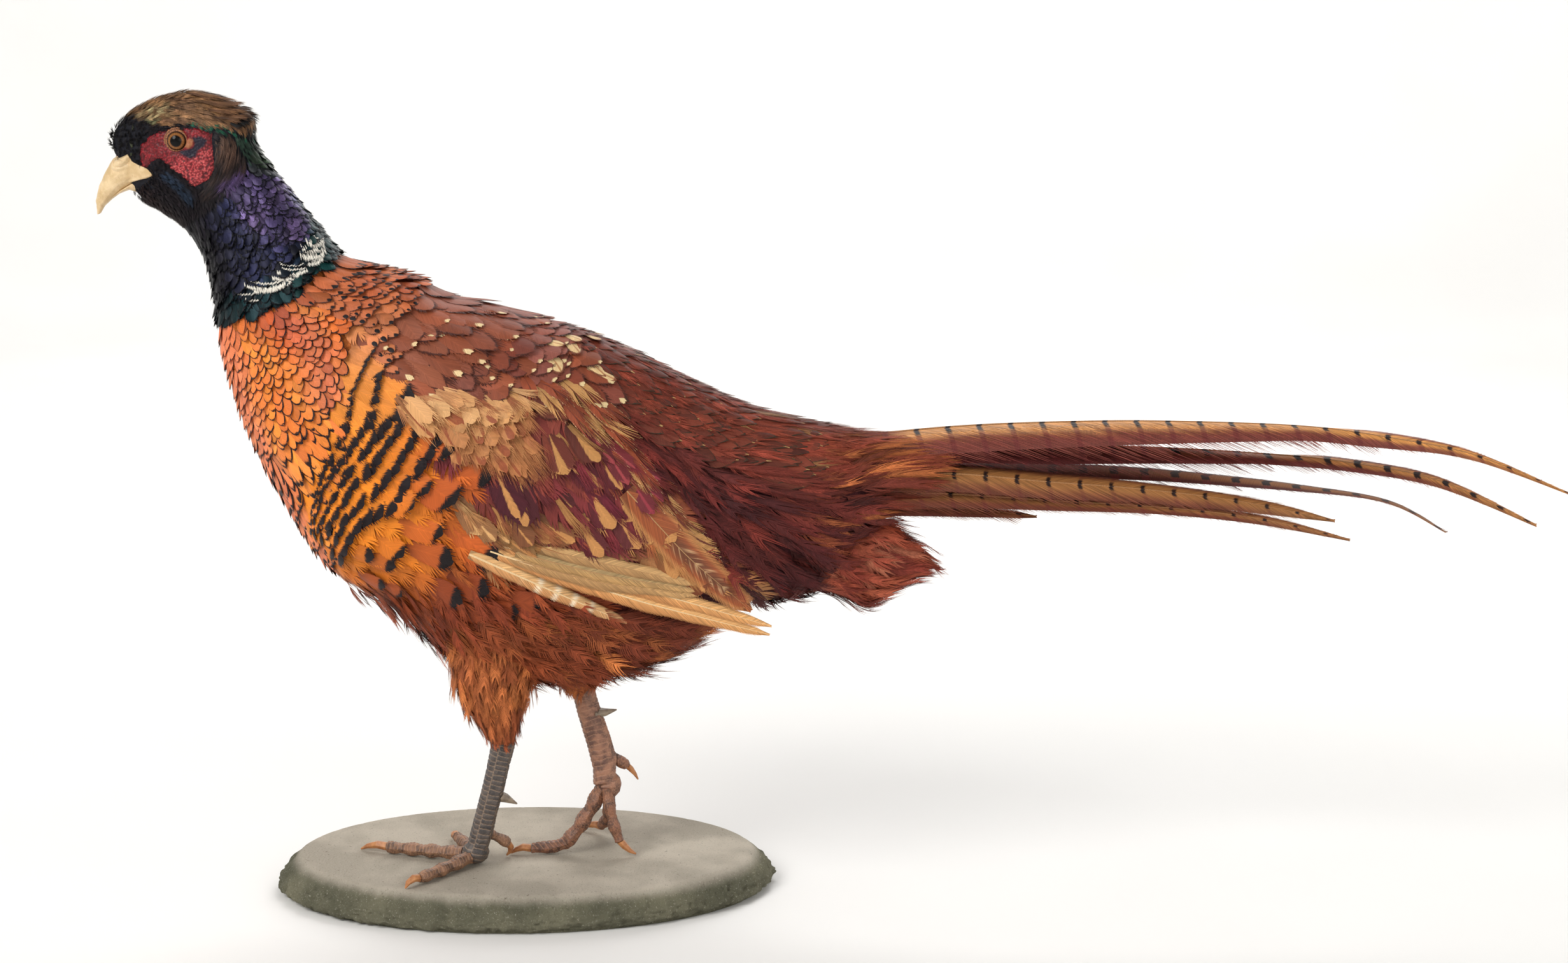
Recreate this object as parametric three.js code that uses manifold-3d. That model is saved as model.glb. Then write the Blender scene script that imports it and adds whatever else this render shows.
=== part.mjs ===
// A mounted cock common pheasant (Phasianus colchicus), walking on an oval base.
// Millimetres, +Z up. The bird faces -Y and its left side is +X.
// The origin is the middle of the base's flat underside.

import * as THREE from 'three';
import { mergeVertices } from 'three/addons/utils/BufferGeometryUtils.js';
import Module from 'manifold-3d';

const wasm = await Module();
wasm.setup();

// ---------------------------------------------------------------- driving sizes

const GAP = 0.3;              // clearance between neighbouring pieces
const MEDIAN = 14;            // X of the bird's own plane of symmetry
const BODY_SIDES = 20;        // points round the head, neck and trunk
const LIMB_SIDES = 8;         // points round a shank or spur

const base = { length: 291, width: 177, thickness: 21, rim: 9, turn: THREE.MathUtils.degToRad(2.5) };

const eye = { y: -180, z: 433.8, out: 14.3, radius: 6.6 };
const wing = { lift: 7, backing: 3, across: 6 };
const flight = { lift: 1.6, backing: 2.4, across: 3 };
const wattle = { lift: 2.4, backing: 2, across: 3 };
const vane = { thickness: 1, across: 2 };

// ---------------------------------------------------------------- finishes

function finish(color, roughness) {
  return new THREE.MeshStandardMaterial({ color, roughness, metalness: 0 });
}

const finishes = {
  stone: finish(0xa39c8f, 0.95),
  headFeather: finish(0x1f3a44, 0.6),
  neckFeather: finish(0x3d3566, 0.5),
  bodyFeather: finish(0xb8652b, 0.75),
  wingFeather: finish(0x8f4a36, 0.75),
  flightFeather: finish(0xd8b27c, 0.7),
  tailFeather: finish(0xbe8746, 0.7),
  downFeather: finish(0x8a3f24, 0.85),
  wattleSkin: finish(0xa8323a, 0.7),
  bill: finish(0xe1cda5, 0.45),
  eye: finish(0xb07a2e, 0.1),
  scute: finish(0x6b5a50, 0.6),
  claw: finish(0xc98247, 0.4),
};

// ---------------------------------------------------------------- solids

function solidFrom(points, triangles) {
  const geometry = new THREE.BufferGeometry().setFromPoints(points);
  geometry.setIndex(triangles);
  const merged = mergeVertices(geometry, 1e-4);
  const corners = new Uint32Array(merged.index.array);
  const places = new Float32Array(merged.attributes.position.array);
  return new wasm.Manifold(new wasm.Mesh({ numProp: 3, vertProperties: places, triVerts: corners }));
}

// Joins a row of equal loops of points into one closed body, capped at both ends.
function loft(loops) {
  const count = loops[0].length;
  const points = loops.flat();
  const triangles = [];
  for (let i = 0; i < loops.length - 1; i += 1) {
    for (let j = 0; j < count; j += 1) {
      const a = i * count + j;
      const b = i * count + ((j + 1) % count);
      triangles.push(a, b, b + count, a, b + count, a + count);
    }
  }
  const last = (loops.length - 1) * count;
  for (const [a, b, c] of capTriangles(count)) {
    triangles.push(a, c, b, last + a, last + b, last + c);
  }
  return outward(points, triangles);
}

// A strip of triangles between the two halves of a closed loop, which need not be convex.
function capTriangles(count) {
  const triangles = [];
  for (let j = 0; j < Math.floor((count - 1) / 2); j += 1) {
    const [a, b, c, d] = [j, j + 1, count - 2 - j, count - 1 - j];
    triangles.push([a, b, d]);
    if (b !== c) triangles.push([b, c, d]);
  }
  return triangles;
}

function outward(points, triangles) {
  let volume = 0;
  for (let i = 0; i < triangles.length; i += 3) {
    const [a, b, c] = [0, 1, 2].map((k) => points[triangles[i + k]]);
    volume += a.dot(new THREE.Vector3().crossVectors(b, c));
  }
  return solidFrom(points, volume > 0 ? triangles : [...triangles].reverse());
}

// Fills in between rows of numbers with a smooth curve, `steps` spans to each row.
function between(rows, steps) {
  const out = [];
  for (let i = 0; i < rows.length - 1; i += 1) {
    const [p, q, r, s] = [-1, 0, 1, 2].map((k) => rows[THREE.MathUtils.clamp(i + k, 0, rows.length - 1)]);
    for (let k = 0; k < steps; k += 1) {
      const t = k / steps;
      out.push(q.map((_, n) => catmull(p[n], q[n], r[n], s[n], t)));
    }
  }
  out.push(rows[rows.length - 1]);
  return out;
}

function catmull(p, q, r, s, t) {
  const slopeIn = (r - p) / 2;
  const slopeOut = (s - q) / 2;
  const cubic = (2 * q - 2 * r + slopeIn + slopeOut) * t ** 3;
  const square = (-3 * q + 3 * r - 2 * slopeIn - slopeOut) * t ** 2;
  return cubic + square + slopeIn * t + q;
}

// One cross-section, given by its upper and lower outline points and its half width.
// `pear` draws the upper half in, `power` squares the outline a little.
function crossSection(row, { x = MEDIAN, grow = 0, sides = BODY_SIDES, power = 2.2, pear = 0 } = {}) {
  const [topY, topZ, bottomY, bottomZ, half, sectionX = x] = row;
  const top = new THREE.Vector3(sectionX, topY, topZ);
  const bottom = new THREE.Vector3(sectionX, bottomY, bottomZ);
  const middle = top.clone().add(bottom).divideScalar(2);
  const rise = top.clone().sub(middle);
  rise.setLength(rise.length() + grow);
  const loop = [];
  for (let i = 0; i < sides; i += 1) {
    const angle = (i / sides) * Math.PI * 2;
    const [c, s] = [Math.cos(angle), Math.sin(angle)];
    const across = Math.sign(c) * Math.abs(c) ** (2 / power) * (1 - pear * s);
    const up = Math.sign(s) * Math.abs(s) ** (2 / power);
    const sideways = new THREE.Vector3((half + grow) * across, 0, 0);
    loop.push(middle.clone().addScaledVector(rise, up).add(sideways));
  }
  return loop;
}

// Moves a loop towards another by a set distance, or away from it if that is negative.
function shifted(loop, other, distance) {
  return loop.map((point, i) => {
    const way = other[i].clone().sub(point).normalize();
    return point.clone().addScaledVector(way, distance);
  });
}

function lengthened(loops, distance) {
  const out = [...loops];
  const end = loops.length - 1;
  out[0] = shifted(loops[0], loops[1], -distance);
  out[end] = shifted(loops[end], loops[end - 1], -distance);
  return out;
}

function sectioned(rows, options = {}) {
  const loops = rows.map((row) => crossSection(row, options));
  return loft(options.grow ? lengthened(loops, options.grow) : loops);
}

// A round rod along a path of [x, y, z, radius] rows, flattened by `flat` if given.
function rod(rows, { grow = 0, sides = LIMB_SIDES, flat = 1 } = {}) {
  const places = rows.map(([x, y, z]) => new THREE.Vector3(x, y, z));
  const loops = rows.map((row, i) => {
    const before = places[Math.max(i - 1, 0)];
    const after = places[Math.min(i + 1, rows.length - 1)];
    const along = after.clone().sub(before).normalize();
    const side = new THREE.Vector3(0, 0, 1).cross(along);
    if (side.length() < 0.2) side.set(1, 0, 0);
    side.normalize();
    const up = along.clone().cross(side).normalize();
    const radius = row[3] + grow;
    return Array.from({ length: sides }, (_, j) => {
      const angle = (j / sides) * Math.PI * 2;
      const offset = side.clone().multiplyScalar(radius * Math.cos(angle));
      offset.addScaledVector(up, radius * flat * Math.sin(angle));
      return places[i].clone().add(offset);
    });
  });
  return loft(grow ? lengthened(loops, grow) : loops);
}

function ellipsoid(middle, radii, [around, high] = [12, 7]) {
  const ball = new THREE.SphereGeometry(1, around, high);
  ball.rotateX(Math.PI / 2);
  ball.scale(...radii).translate(...middle);
  ball.deleteAttribute('normal');
  ball.deleteAttribute('uv');
  const merged = mergeVertices(ball, 1e-5);
  const points = [];
  for (let i = 0; i < merged.attributes.position.count; i += 1) {
    points.push(new THREE.Vector3().fromBufferAttribute(merged.attributes.position, i));
  }
  return outward(points, [...merged.index.array]);
}

function geometryOf(solid) {
  const { vertProperties, triVerts } = solid.getMesh();
  const geometry = new THREE.BufferGeometry();
  geometry.setAttribute('position', new THREE.BufferAttribute(new Float32Array(vertProperties), 3));
  geometry.setIndex(new THREE.BufferAttribute(new Uint32Array(triVerts), 1));
  geometry.computeVertexNormals();
  return geometry;
}

// The biggest body of a solid, without the slivers that a grazing cut leaves.
function mainBody(solid) {
  return solid.decompose().reduce((best, body) => (body.volume() > best.volume() ? body : best));
}

function mirrored(solid) {
  return solid.mirror([1, 0, 0]).translate([2 * MEDIAN, 0, 0]);
}

const pheasant = new THREE.Group();

function place(name, solid, material) {
  const mesh = new THREE.Mesh(geometryOf(solid), material);
  mesh.name = name;
  pheasant.add(mesh);
}

function placePair(name, leftSolid, material) {
  place(`${name}_left`, leftSolid, material);
  place(`${name}_right`, mirrored(leftSolid), material);
}

// ---------------------------------------------------------------- base

// An oval board with a flat underside and a rounded rim.
function makeBase() {
  const radius = base.length / 2;
  const high = base.thickness;
  const profile = [
    [0, 0], [radius - base.rim * 0.5, 0], [radius - base.rim * 0.12, high * 0.16],
    [radius, high * 0.45], [radius - base.rim * 0.2, high * 0.75],
    [radius - base.rim * 0.55, high * 0.94], [radius - base.rim, high], [0, high],
  ];
  const turned = new THREE.LatheGeometry(profile.map(([r, z]) => new THREE.Vector2(r, z)), 36);
  turned.rotateX(Math.PI / 2);
  turned.scale(base.width / base.length, 1, 1);
  turned.rotateZ(base.turn);
  turned.deleteAttribute('normal');
  turned.deleteAttribute('uv');
  const merged = mergeVertices(turned, 1e-3);
  const points = [];
  for (let i = 0; i < merged.attributes.position.count; i += 1) {
    points.push(new THREE.Vector3().fromBufferAttribute(merged.attributes.position, i));
  }
  return outward(points, [...merged.index.array]);
}

place('base', makeBase(), finishes.stone);

// ---------------------------------------------------------------- head, neck and trunk

// Rows run from the face to the tail root: upper outline Y and Z, lower outline Y and Z,
// then half width.
const headRows = [
  [-220.5, 431, -216.5, 418, 4],
  [-218.5, 439, -210.5, 406.5, 9],
  [-211, 447.5, -205, 400.5, 13],
  [-199.5, 454.5, -201, 397.5, 16.5],
  [-187, 458.7, -196, 395.5, 18.5],
  [-174.5, 460.5, -192, 392.5, 19],
  [-160, 457.5, -187, 389.5, 19.5],
  [-141.5, 446.5, -182, 385.5, 19],
  [-139.5, 430, -177, 381, 19.5],
];
const neckRows = [
  [-123, 406.5, -169.5, 367.5, 22],
  [-106, 384, -165.5, 343.5, 27],
  [-91, 368.6, -163.5, 319, 35],
];
const trunkRows = [
  [-54, 359, -155, 287, 48],
  [-36, 348.6, -146.5, 266, 53],
  [-12, 343, -136.5, 243, 56],
  [34, 330, -107, 193, 58],
  [53, 322.5, -72.5, 170.5, 57],
  [71, 314.5, -36, 139.5, 54],
  [91, 304, 5, 128, 50],
  [110, 295, 47, 130, 46],
  [126, 288, 87, 142, 42],
  [144, 282, 119, 166, 38],
  [178, 274.5, 173, 184, 31],
  [205, 270.5, 205, 224, 23],
];

const ROW_STEPS = 2;
const fleshRows = between([...headRows, ...neckRows, ...trunkRows], ROW_STEPS);
const headEnd = (headRows.length - 1) * ROW_STEPS;
const neckEnd = (headRows.length + neckRows.length - 1) * ROW_STEPS;

function fleshLoops(from, to, grow = 0) {
  const loops = fleshRows.slice(from, to + 1).map((row) => crossSection(row, { grow, pear: 0.06 }));
  if (grow) return lengthened(loops, grow);
  if (from > 0) loops[0] = shifted(loops[0], loops[1], GAP);
  return loops;
}

const headWhole = loft(fleshLoops(0, headEnd));
const trunk = loft(fleshLoops(neckEnd, fleshRows.length - 1));
const trunkGrown = loft(fleshLoops(neckEnd, fleshRows.length - 1, GAP));

place('neck', loft(fleshLoops(headEnd, neckEnd)), finishes.neckFeather);

// ---------------------------------------------------------------- bill and eyes

const upperBillRows = [
  [-211, 428, -201, 413, 7.2],
  [-219.2, 423, -208, 409.3, 7],
  [-223.6, 416, -215, 405, 6],
  [-227.5, 408, -220.4, 401, 4.6],
  [-229.6, 400.5, -225, 397, 3],
  [-229.2, 392.2, -227.2, 393.2, 0.9],
];
const lowerBillRows = [
  [-200, 411, -205, 401.2, 6.4],
  [-208, 408.2, -211.4, 403.4, 5.8],
  [-215, 403.8, -216.8, 401.4, 4.6],
  [-220.6, 399.8, -221.8, 398.4, 2.6],
  [-224.2, 396.6, -224.6, 396, 0.8],
];
const BILL_SIDES = 12;

function upperBill(grow) {
  const horn = sectioned(upperBillRows, { grow, sides: BILL_SIDES, power: 2, pear: 0.12 });
  const flap = { y: -214, z: 419.6, out: 5.6, radii: [2.4 + grow, 5.2 + grow, 3.4 + grow] };
  const flapCentre = (side) => [MEDIAN + side * flap.out, flap.y, flap.z];
  const nostrils = [-1, 1].map((side) => ellipsoid(flapCentre(side), flap.radii, [10, 6]));
  return nostrils.reduce((body, nostril) => body.add(nostril), horn);
}

function lowerBill(grow) {
  return sectioned(lowerBillRows, { grow, sides: BILL_SIDES, power: 2, pear: -0.1 });
}

function eyeball(grow) {
  const radius = eye.radius + grow;
  return ellipsoid([MEDIAN + eye.out, eye.y, eye.z], [radius, radius, radius]);
}

const eyeSocket = eyeball(GAP);
const head = headWhole
  .subtract(upperBill(GAP))
  .subtract(lowerBill(GAP))
  .subtract(eyeSocket)
  .subtract(mirrored(eyeSocket));

place('bill_upper', upperBill(0), finishes.bill);
place('bill_lower', lowerBill(0).subtract(upperBill(GAP)), finishes.bill);
placePair('eye', eyeball(0), finishes.eye);
place('head', head, finishes.headFeather);

// ---------------------------------------------------------------- patches that follow the body

const caster = new THREE.Raycaster();

function surfaceX(mesh, y, z) {
  caster.set(new THREE.Vector3(300, y, z), new THREE.Vector3(-1, 0, 0));
  const hit = caster.intersectObject(mesh)[0];
  return hit ? hit.point.x : -Infinity;
}

// A plate over the left side of a body. Each row gives the plate's upper edge Y and Z, its
// lower edge Y and Z, and how far out from the median plane each edge stands at least.
function sidePatch(rows, bodyMesh, { lift, backing, across }, grow = 0) {
  const loops = rows.map(([upperY, upperZ, lowerY, lowerZ, upperOut, lowerOut]) => {
    const margin = grow / Math.hypot(lowerY - upperY, lowerZ - upperZ);
    const outside = [];
    const inside = [];
    for (let i = 0; i <= across; i += 1) {
      const t = i / across;
      const edge = THREE.MathUtils.lerp(-margin, 1 + margin, t);
      const y = THREE.MathUtils.lerp(upperY, lowerY, edge);
      const z = THREE.MathUtils.lerp(upperZ, lowerZ, edge);
      const swell = lift * (0.35 + 0.65 * Math.sin(Math.PI * t));
      const free = MEDIAN + THREE.MathUtils.lerp(upperOut, lowerOut, Math.sqrt(t));
      const x = Math.max(surfaceX(bodyMesh, y, z), free - lift) + swell;
      outside.push(new THREE.Vector3(x + grow, y, z));
      inside.push(new THREE.Vector3(x - swell - backing - grow, y, z));
    }
    return [...outside, ...inside.reverse()];
  });
  return loft(grow ? lengthened(loops, grow) : loops);
}

const trunkMesh = new THREE.Mesh(geometryOf(trunk));
const headMesh = new THREE.Mesh(geometryOf(headWhole));

const wattleRows = [
  [-201.6, 432, -203.6, 416, 0, 0],
  [-197.6, 435, -200.6, 415, 0, 0],
  [-189.6, 438, -191.6, 417, 0, 0],
  [-180.6, 440, -182.6, 412, 0, 0],
  [-171.6, 441, -173.6, 407, 0, 0],
  [-163.6, 438, -166.6, 409, 0, 0],
  [-159.6, 434, -161.6, 418, 0, 0],
];
const headGrown = loft(fleshLoops(0, headEnd, GAP));
const wattlePlate = sidePatch(wattleRows, headMesh, wattle).subtract(headGrown).subtract(eyeSocket);
placePair('wattle', mainBody(wattlePlate), finishes.wattleSkin);

// ---------------------------------------------------------------- wings

const wingRows = [
  [-59, 319, -57, 301, 0, 0],
  [-50, 329, -49, 275, 0, 0],
  [-26, 332, -34, 248, 0, 0],
  [2, 327, -16, 227, 0, 0],
  [26, 317, 6, 214, 0, 58],
  [50, 299, 34, 205, 0, 59],
  [72, 273, 60, 197, 40, 58],
  [94, 242, 86, 189, 44, 56],
  [114, 212, 106, 183, 46, 53],
  [130, 188, 124, 178, 46, 49],
];
const flightRows = [
  [-22, 223, -22, 216, 52, 52],
  [6, 217, 4, 205, 56, 56],
  [34, 209, 31, 193.5, 57, 57],
  [62, 201, 58, 181, 56, 56],
  [88, 193, 85, 173, 53, 53],
  [112, 186, 108, 167, 49, 49],
  [132, 179, 129, 161.5, 46, 46],
  [141, 173, 140, 165, 44, 44],
];

const thighSide = MEDIAN + 16;
const leftThighRows = [
  [-44, 173, 24, 177, 20, thighSide],
  [-39.4, 146, 12, 141, 18.5, thighSide],
  [-34.6, 122, 5.8, 120, 15, thighSide],
  [-27.2, 108, 1.6, 107, 11, thighSide - 0.5],
  [-19.5, 97, -1.5, 96, 7.8, thighSide - 1],
  [-17.5, 92.5, -2.6, 92.5, 6.4, thighSide - 1.5],
];
const rightThighRows = [
  [0, 168, 72, 172, 20, MEDIAN - 15],
  [7, 146, 63, 147, 18, MEDIAN - 14],
  [15, 131, 52, 133, 13, MEDIAN - 12],
  [22, 119, 42, 121.5, 7.2, MEDIAN - 11],
];
const THIGH_SIDES = 12;

const wingSolid = sidePatch(wingRows, trunkMesh, wing).subtract(trunkGrown);
const wingGrown = sidePatch(wingRows, trunkMesh, wing, GAP);
const flightSolid = sidePatch(flightRows, trunkMesh, flight).subtract(trunkGrown).subtract(wingGrown);
placePair('wing', wingSolid, finishes.wingFeather);
placePair('flight_feathers', flightSolid, finishes.flightFeather);

// ---------------------------------------------------------------- legs and feet

// A leg: the feathered thigh, the scaly shank with its foot, the spur, four toes with claws.
// Shank rows are front Y and Z, back Y and Z, half width and X. Toe rows are X, Y, Z, radius,
// and the last rows of each toe are its claw.
const legs = {
  left: {
    thigh: leftThighRows,
    shank: [
      [-15.5, 98, -4.5, 98, 4.4, 28.5],
      [-17, 91, -2.6, 93, 5, 28.5],
      [-19.4, 79, -6, 81, 4.4, 28.3],
      [-23.4, 63, -9.6, 66, 4.2, 28],
      [-27, 50, -13.8, 52, 4.2, 27.6],
      [-30, 39, -16, 42, 5, 27],
      [-32, 31, -19.5, 31, 6, 26.6],
    ],
    pad: { at: [27, -27, 28.2], radii: [7.4, 8.2, 6.6] },
    spur: [[26.5, -14.4, 62, 4.6], [25.6, -9, 60, 3.1], [25, -2.6, 56.4, 0.35]],
    toes: {
      middle: {
        digit: [[26, -28, 27.6, 4.2], [21, -43, 26, 3.7], [15, -60, 25.4, 3.6], [8.2, -80, 24.9, 3.1]],
        claw: [
          [8.8, -78, 24.9, 2.4], [6, -86.5, 25.6, 2.2],
          [3.6, -92.5, 24, 1.5], [2.4, -96.8, 21.7, 0.35],
        ],
      },
      outer: {
        digit: [[30, -29, 27, 4.1], [42, -38.5, 25.6, 3.6], [53, -47, 25.2, 3.4], [63, -54.5, 25, 2.8]],
        claw: [
          [61.6, -53.4, 25.1, 2.3], [66, -57.2, 26.2, 2.1],
          [69, -60, 24.6, 1.5], [70, -61.5, 21.7, 0.35],
        ],
      },
      inner: {
        digit: [[22, -28.5, 28, 3.9], [10, -33, 26, 3.4], [0, -37.5, 25.2, 3.3], [-10, -42, 25, 2.7]],
        claw: [
          [-8.6, -41.4, 25, 2.2], [-13.6, -43.6, 25.6, 2],
          [-17, -45.2, 24.4, 1.4], [-19, -46.4, 21.7, 0.35],
        ],
      },
      hind: {
        digit: [[23.5, -19, 38, 3], [20.4, -13.6, 34.4, 2.9], [17.6, -9.2, 30.4, 2.7]],
        claw: [
          [18, -9.8, 31, 2.1], [16.2, -7.8, 27.6, 1.9],
          [14.8, -8.6, 24.2, 1.2], [13.8, -10.6, 21.8, 0.35],
        ],
      },
    },
  },
  right: {
    thigh: rightThighRows,
    shank: [
      [24.5, 125, 38, 126, 5, 2.8],
      [27.4, 118, 40, 122, 4.6, 3],
      [31, 103, 43.6, 109, 4.3, 3.6],
      [36.4, 84, 49.4, 92, 4.2, 4.4],
      [39.5, 71, 53.4, 78, 4.8, 5.4],
      [39.5, 62, 52.4, 66, 5.6, 6],
    ],
    pad: { at: [4.6, 48.6, 61.6], radii: [7, 7.4, 8] },
    spur: [[4, 41, 104.4, 4.4], [3.4, 47, 104.6, 2.7], [3, 53.6, 106, 0.35]],
    toes: {
      middle: {
        digit: [
          [6.4, 45.5, 62, 4.4], [7.4, 39.4, 50, 4.3], [8.4, 31, 36.4, 4.2], [9.2, 23.4, 27.4, 4],
          [9.6, 12, 24.9, 3.4], [9.9, 3.5, 24.7, 2.9],
        ],
        claw: [
          [9.9, 5, 24.7, 2.4], [10, -1.5, 25.4, 2.1],
          [10.1, -5.6, 23.9, 1.4], [10.2, -8.6, 21.8, 0.35],
        ],
      },
      inner: {
        digit: [[9, 47.4, 60.4, 3.8], [12, 49.6, 48.6, 3.2], [13.4, 52, 38.4, 3.2], [14.2, 55, 30.4, 2.8]],
        claw: [
          [14.1, 54.6, 31.4, 2.3], [14.3, 57.8, 27.6, 2],
          [14.5, 61.2, 24.6, 1.3], [14.6, 64.4, 22.8, 0.35],
        ],
      },
      outer: {
        digit: [[2, 47, 60, 4], [-8, 47.6, 46, 3.4], [-18, 46.4, 34, 3.3], [-26.6, 41.4, 26, 3]],
        claw: [
          [-26, 41.8, 26.4, 2.5], [-30, 37.6, 26, 2.1],
          [-32.6, 31.4, 24.6, 1.4], [-34.4, 25.4, 21.8, 0.35],
        ],
      },
      hind: {
        digit: [[3.6, 48.4, 79.4, 3.4], [1.4, 54, 75.4, 3.2], [-1, 58.8, 71, 2.7]],
        claw: [[-0.8, 58.2, 72, 2], [-2, 60.8, 69, 1.8], [-3, 63.2, 65.6, 1.1], [-3.6, 65, 62, 0.35]],
      },
    },
  },
};
const TOE_SIDES = 7;
const CLAW_SIDES = 6;

function thighSolid(rows, grow = 0) {
  return sectioned(between(rows, 2), { grow, sides: THIGH_SIDES, power: 2 });
}

function shankSolid({ shank, pad }, grow = 0) {
  const shaft = sectioned(shank, { grow, sides: LIMB_SIDES, power: 2.3 });
  return shaft.add(ellipsoid(pad.at, pad.radii.map((radius) => radius + grow), [10, 6]));
}

for (const [side, leg] of Object.entries(legs)) {
  const shankGrown = shankSolid(leg, GAP);
  const thigh = thighSolid(leg.thigh).subtract(trunkGrown).subtract(shankGrown);
  place(`thigh_${side}`, thigh, finishes.downFeather);
  place(`shank_${side}`, shankSolid(leg), finishes.scute);
  const spurOptions = { sides: LIMB_SIDES, flat: 0.85 };
  place(`spur_${side}`, rod(leg.spur, spurOptions).subtract(shankGrown), finishes.claw);
  let taken = shankGrown;
  for (const [toe, { digit, claw }] of Object.entries(leg.toes)) {
    const options = { sides: TOE_SIDES };
    const digitGrown = rod(digit, { ...options, grow: GAP });
    place(`toe_${toe}_${side}`, rod(digit, options).subtract(taken), finishes.scute);
    place(`claw_${toe}_${side}`, rod(claw, { sides: CLAW_SIDES }).subtract(digitGrown), finishes.claw);
    taken = taken.add(digitGrown);
  }
}

// ---------------------------------------------------------------- coverts under the tail

const undertailRows = [
  [160, 216, 152, 181, 22],
  [184, 221, 178, 178, 21],
  [206, 221, 200, 168, 18],
  [222, 211, 213, 167.5, 13],
  [232, 204, 229, 180, 8],
  [239, 194, 239, 189, 2],
];
const undertail = sectioned(between(undertailRows, 2), { sides: 12, power: 2 }).subtract(trunkGrown);
place('undertail_coverts', undertail, finishes.downFeather);

// ---------------------------------------------------------------- tail

// Each long feather is an arched blade. Rows are its shaft's Y, Z and X, and its half width
// along the arch. `arch` is the bend from shaft to edge in radians, `roll` leans it outward.
const TAIL_START = trunkRows.at(-1)[0] + GAP;
const tailFeathers = [
  {
    arch: 1.35, roll: 0,
    rows: [[205, 268, 14, 26], [245, 273.3, 14, 27], [300, 276, 15, 26], [361, 276.8, 16, 23],
      [441, 274.3, 18, 15], [494, 267.4, 20, 7.5], [537, 258.4, 21, 4], [590, 237, 22, 0.8]],
  },
  {
    arch: 1.15, roll: 0,
    rows: [[205, 262, 14, 20], [245, 263.5, 13, 21], [300, 262.5, 11.5, 21], [366, 260.3, 9, 17],
      [428, 256, 6, 11], [468, 251.3, 3, 7], [522, 240, 0, 5], [580, 213.5, -3, 1.2]],
  },
  {
    arch: 0.7, roll: 0.62,
    rows: [[205, 247, 26.5, 12.6], [240, 249.5, 28, 13.4], [297, 245, 29.5, 12.4], [348, 241, 29.5, 10],
      [402, 234.2, 29, 7.5], [458, 222.5, 28, 0.9]],
  },
  {
    arch: 0.7, roll: -0.62,
    rows: [[205, 247, 1.5, 12.6], [240, 249.5, 0, 13.4], [300, 248, -1.5, 12.6], [361, 245, -3, 10],
      [442, 236, -6, 6.4], [496, 226.5, -9, 4], [531, 207.5, -12, 1.2]],
  },
  {
    arch: 0.6, roll: 0.52,
    rows: [[205, 238.4, 26, 11.6], [240, 238, 28, 11], [300, 234.5, 30.5, 8], [360, 231, 31.5, 5.6],
      [415, 224.5, 32, 4.2], [466, 212.5, 32, 0.9]],
  },
  {
    arch: 0.6, roll: -0.52,
    rows: [[205, 238.4, 2, 11.6], [240, 238.5, 0, 12], [300, 236, -3, 10.6], [360, 231, -5, 8],
      [423, 219, -7, 0.9]],
  },
  {
    arch: 0.5, roll: 0.3,
    rows: [[205, 230.8, 25.5, 10.4], [230, 230.4, 27, 9.6], [262, 228.6, 28.5, 7], [291, 225.4, 30, 1]],
  },
  {
    arch: 0.5, roll: -0.3,
    rows: [[205, 230.8, 2.5, 10.4], [230, 231.4, 1, 10], [272, 231.2, -1, 7.6], [318, 227, -5, 1.6]],
  },
];

function tailFeather({ rows, arch, roll }) {
  const loops = between(rows, 2).map(([y, z, x, half]) => {
    const bend = arch * Math.min(1, half / 10 + 0.3);
    const radius = half / bend;
    const upper = [];
    const lower = [];
    for (let i = 0; i <= vane.across; i += 1) {
      const angle = THREE.MathUtils.lerp(-bend, bend, i / vane.across);
      for (const [list, reach] of [[upper, radius], [lower, radius - vane.thickness]]) {
        const point = new THREE.Vector3(reach * Math.sin(angle), 0, reach * Math.cos(angle) - radius);
        point.applyAxisAngle(new THREE.Vector3(0, 1, 0), roll);
        list.push(point.add(new THREE.Vector3(x, Math.max(y, TAIL_START), z)));
      }
    }
    return [...upper, ...lower.reverse()];
  });
  return loft(loops);
}

tailFeathers.forEach((feather, i) => {
  place(`tail_feather_${i + 1}`, tailFeather(feather), finishes.tailFeather);
});

place('trunk', trunk, finishes.bodyFeather);

export default pheasant;
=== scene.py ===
"""Looks of the mounted cock pheasant: skin, feathers, eyes, bill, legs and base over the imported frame.

Lengths are in millimetres until a mesh is made, and the bird faces -Y with its left side at +X.
"""
import itertools
import math

import bpy
import numpy as np
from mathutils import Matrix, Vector
from mathutils.bvhtree import BVHTree
from mathutils.kdtree import KDTree


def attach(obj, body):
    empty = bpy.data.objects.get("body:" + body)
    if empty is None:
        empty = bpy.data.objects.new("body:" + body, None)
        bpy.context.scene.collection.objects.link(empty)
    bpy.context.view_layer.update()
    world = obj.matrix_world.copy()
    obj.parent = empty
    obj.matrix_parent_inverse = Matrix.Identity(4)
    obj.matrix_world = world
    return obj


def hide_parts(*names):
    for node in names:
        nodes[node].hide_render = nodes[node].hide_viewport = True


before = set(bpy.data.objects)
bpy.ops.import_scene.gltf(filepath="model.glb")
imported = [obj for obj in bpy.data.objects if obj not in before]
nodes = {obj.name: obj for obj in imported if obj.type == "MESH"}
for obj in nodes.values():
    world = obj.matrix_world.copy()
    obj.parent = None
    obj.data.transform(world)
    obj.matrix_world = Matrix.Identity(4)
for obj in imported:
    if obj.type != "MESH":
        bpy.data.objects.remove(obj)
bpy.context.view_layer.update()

MM = 0.001
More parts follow.
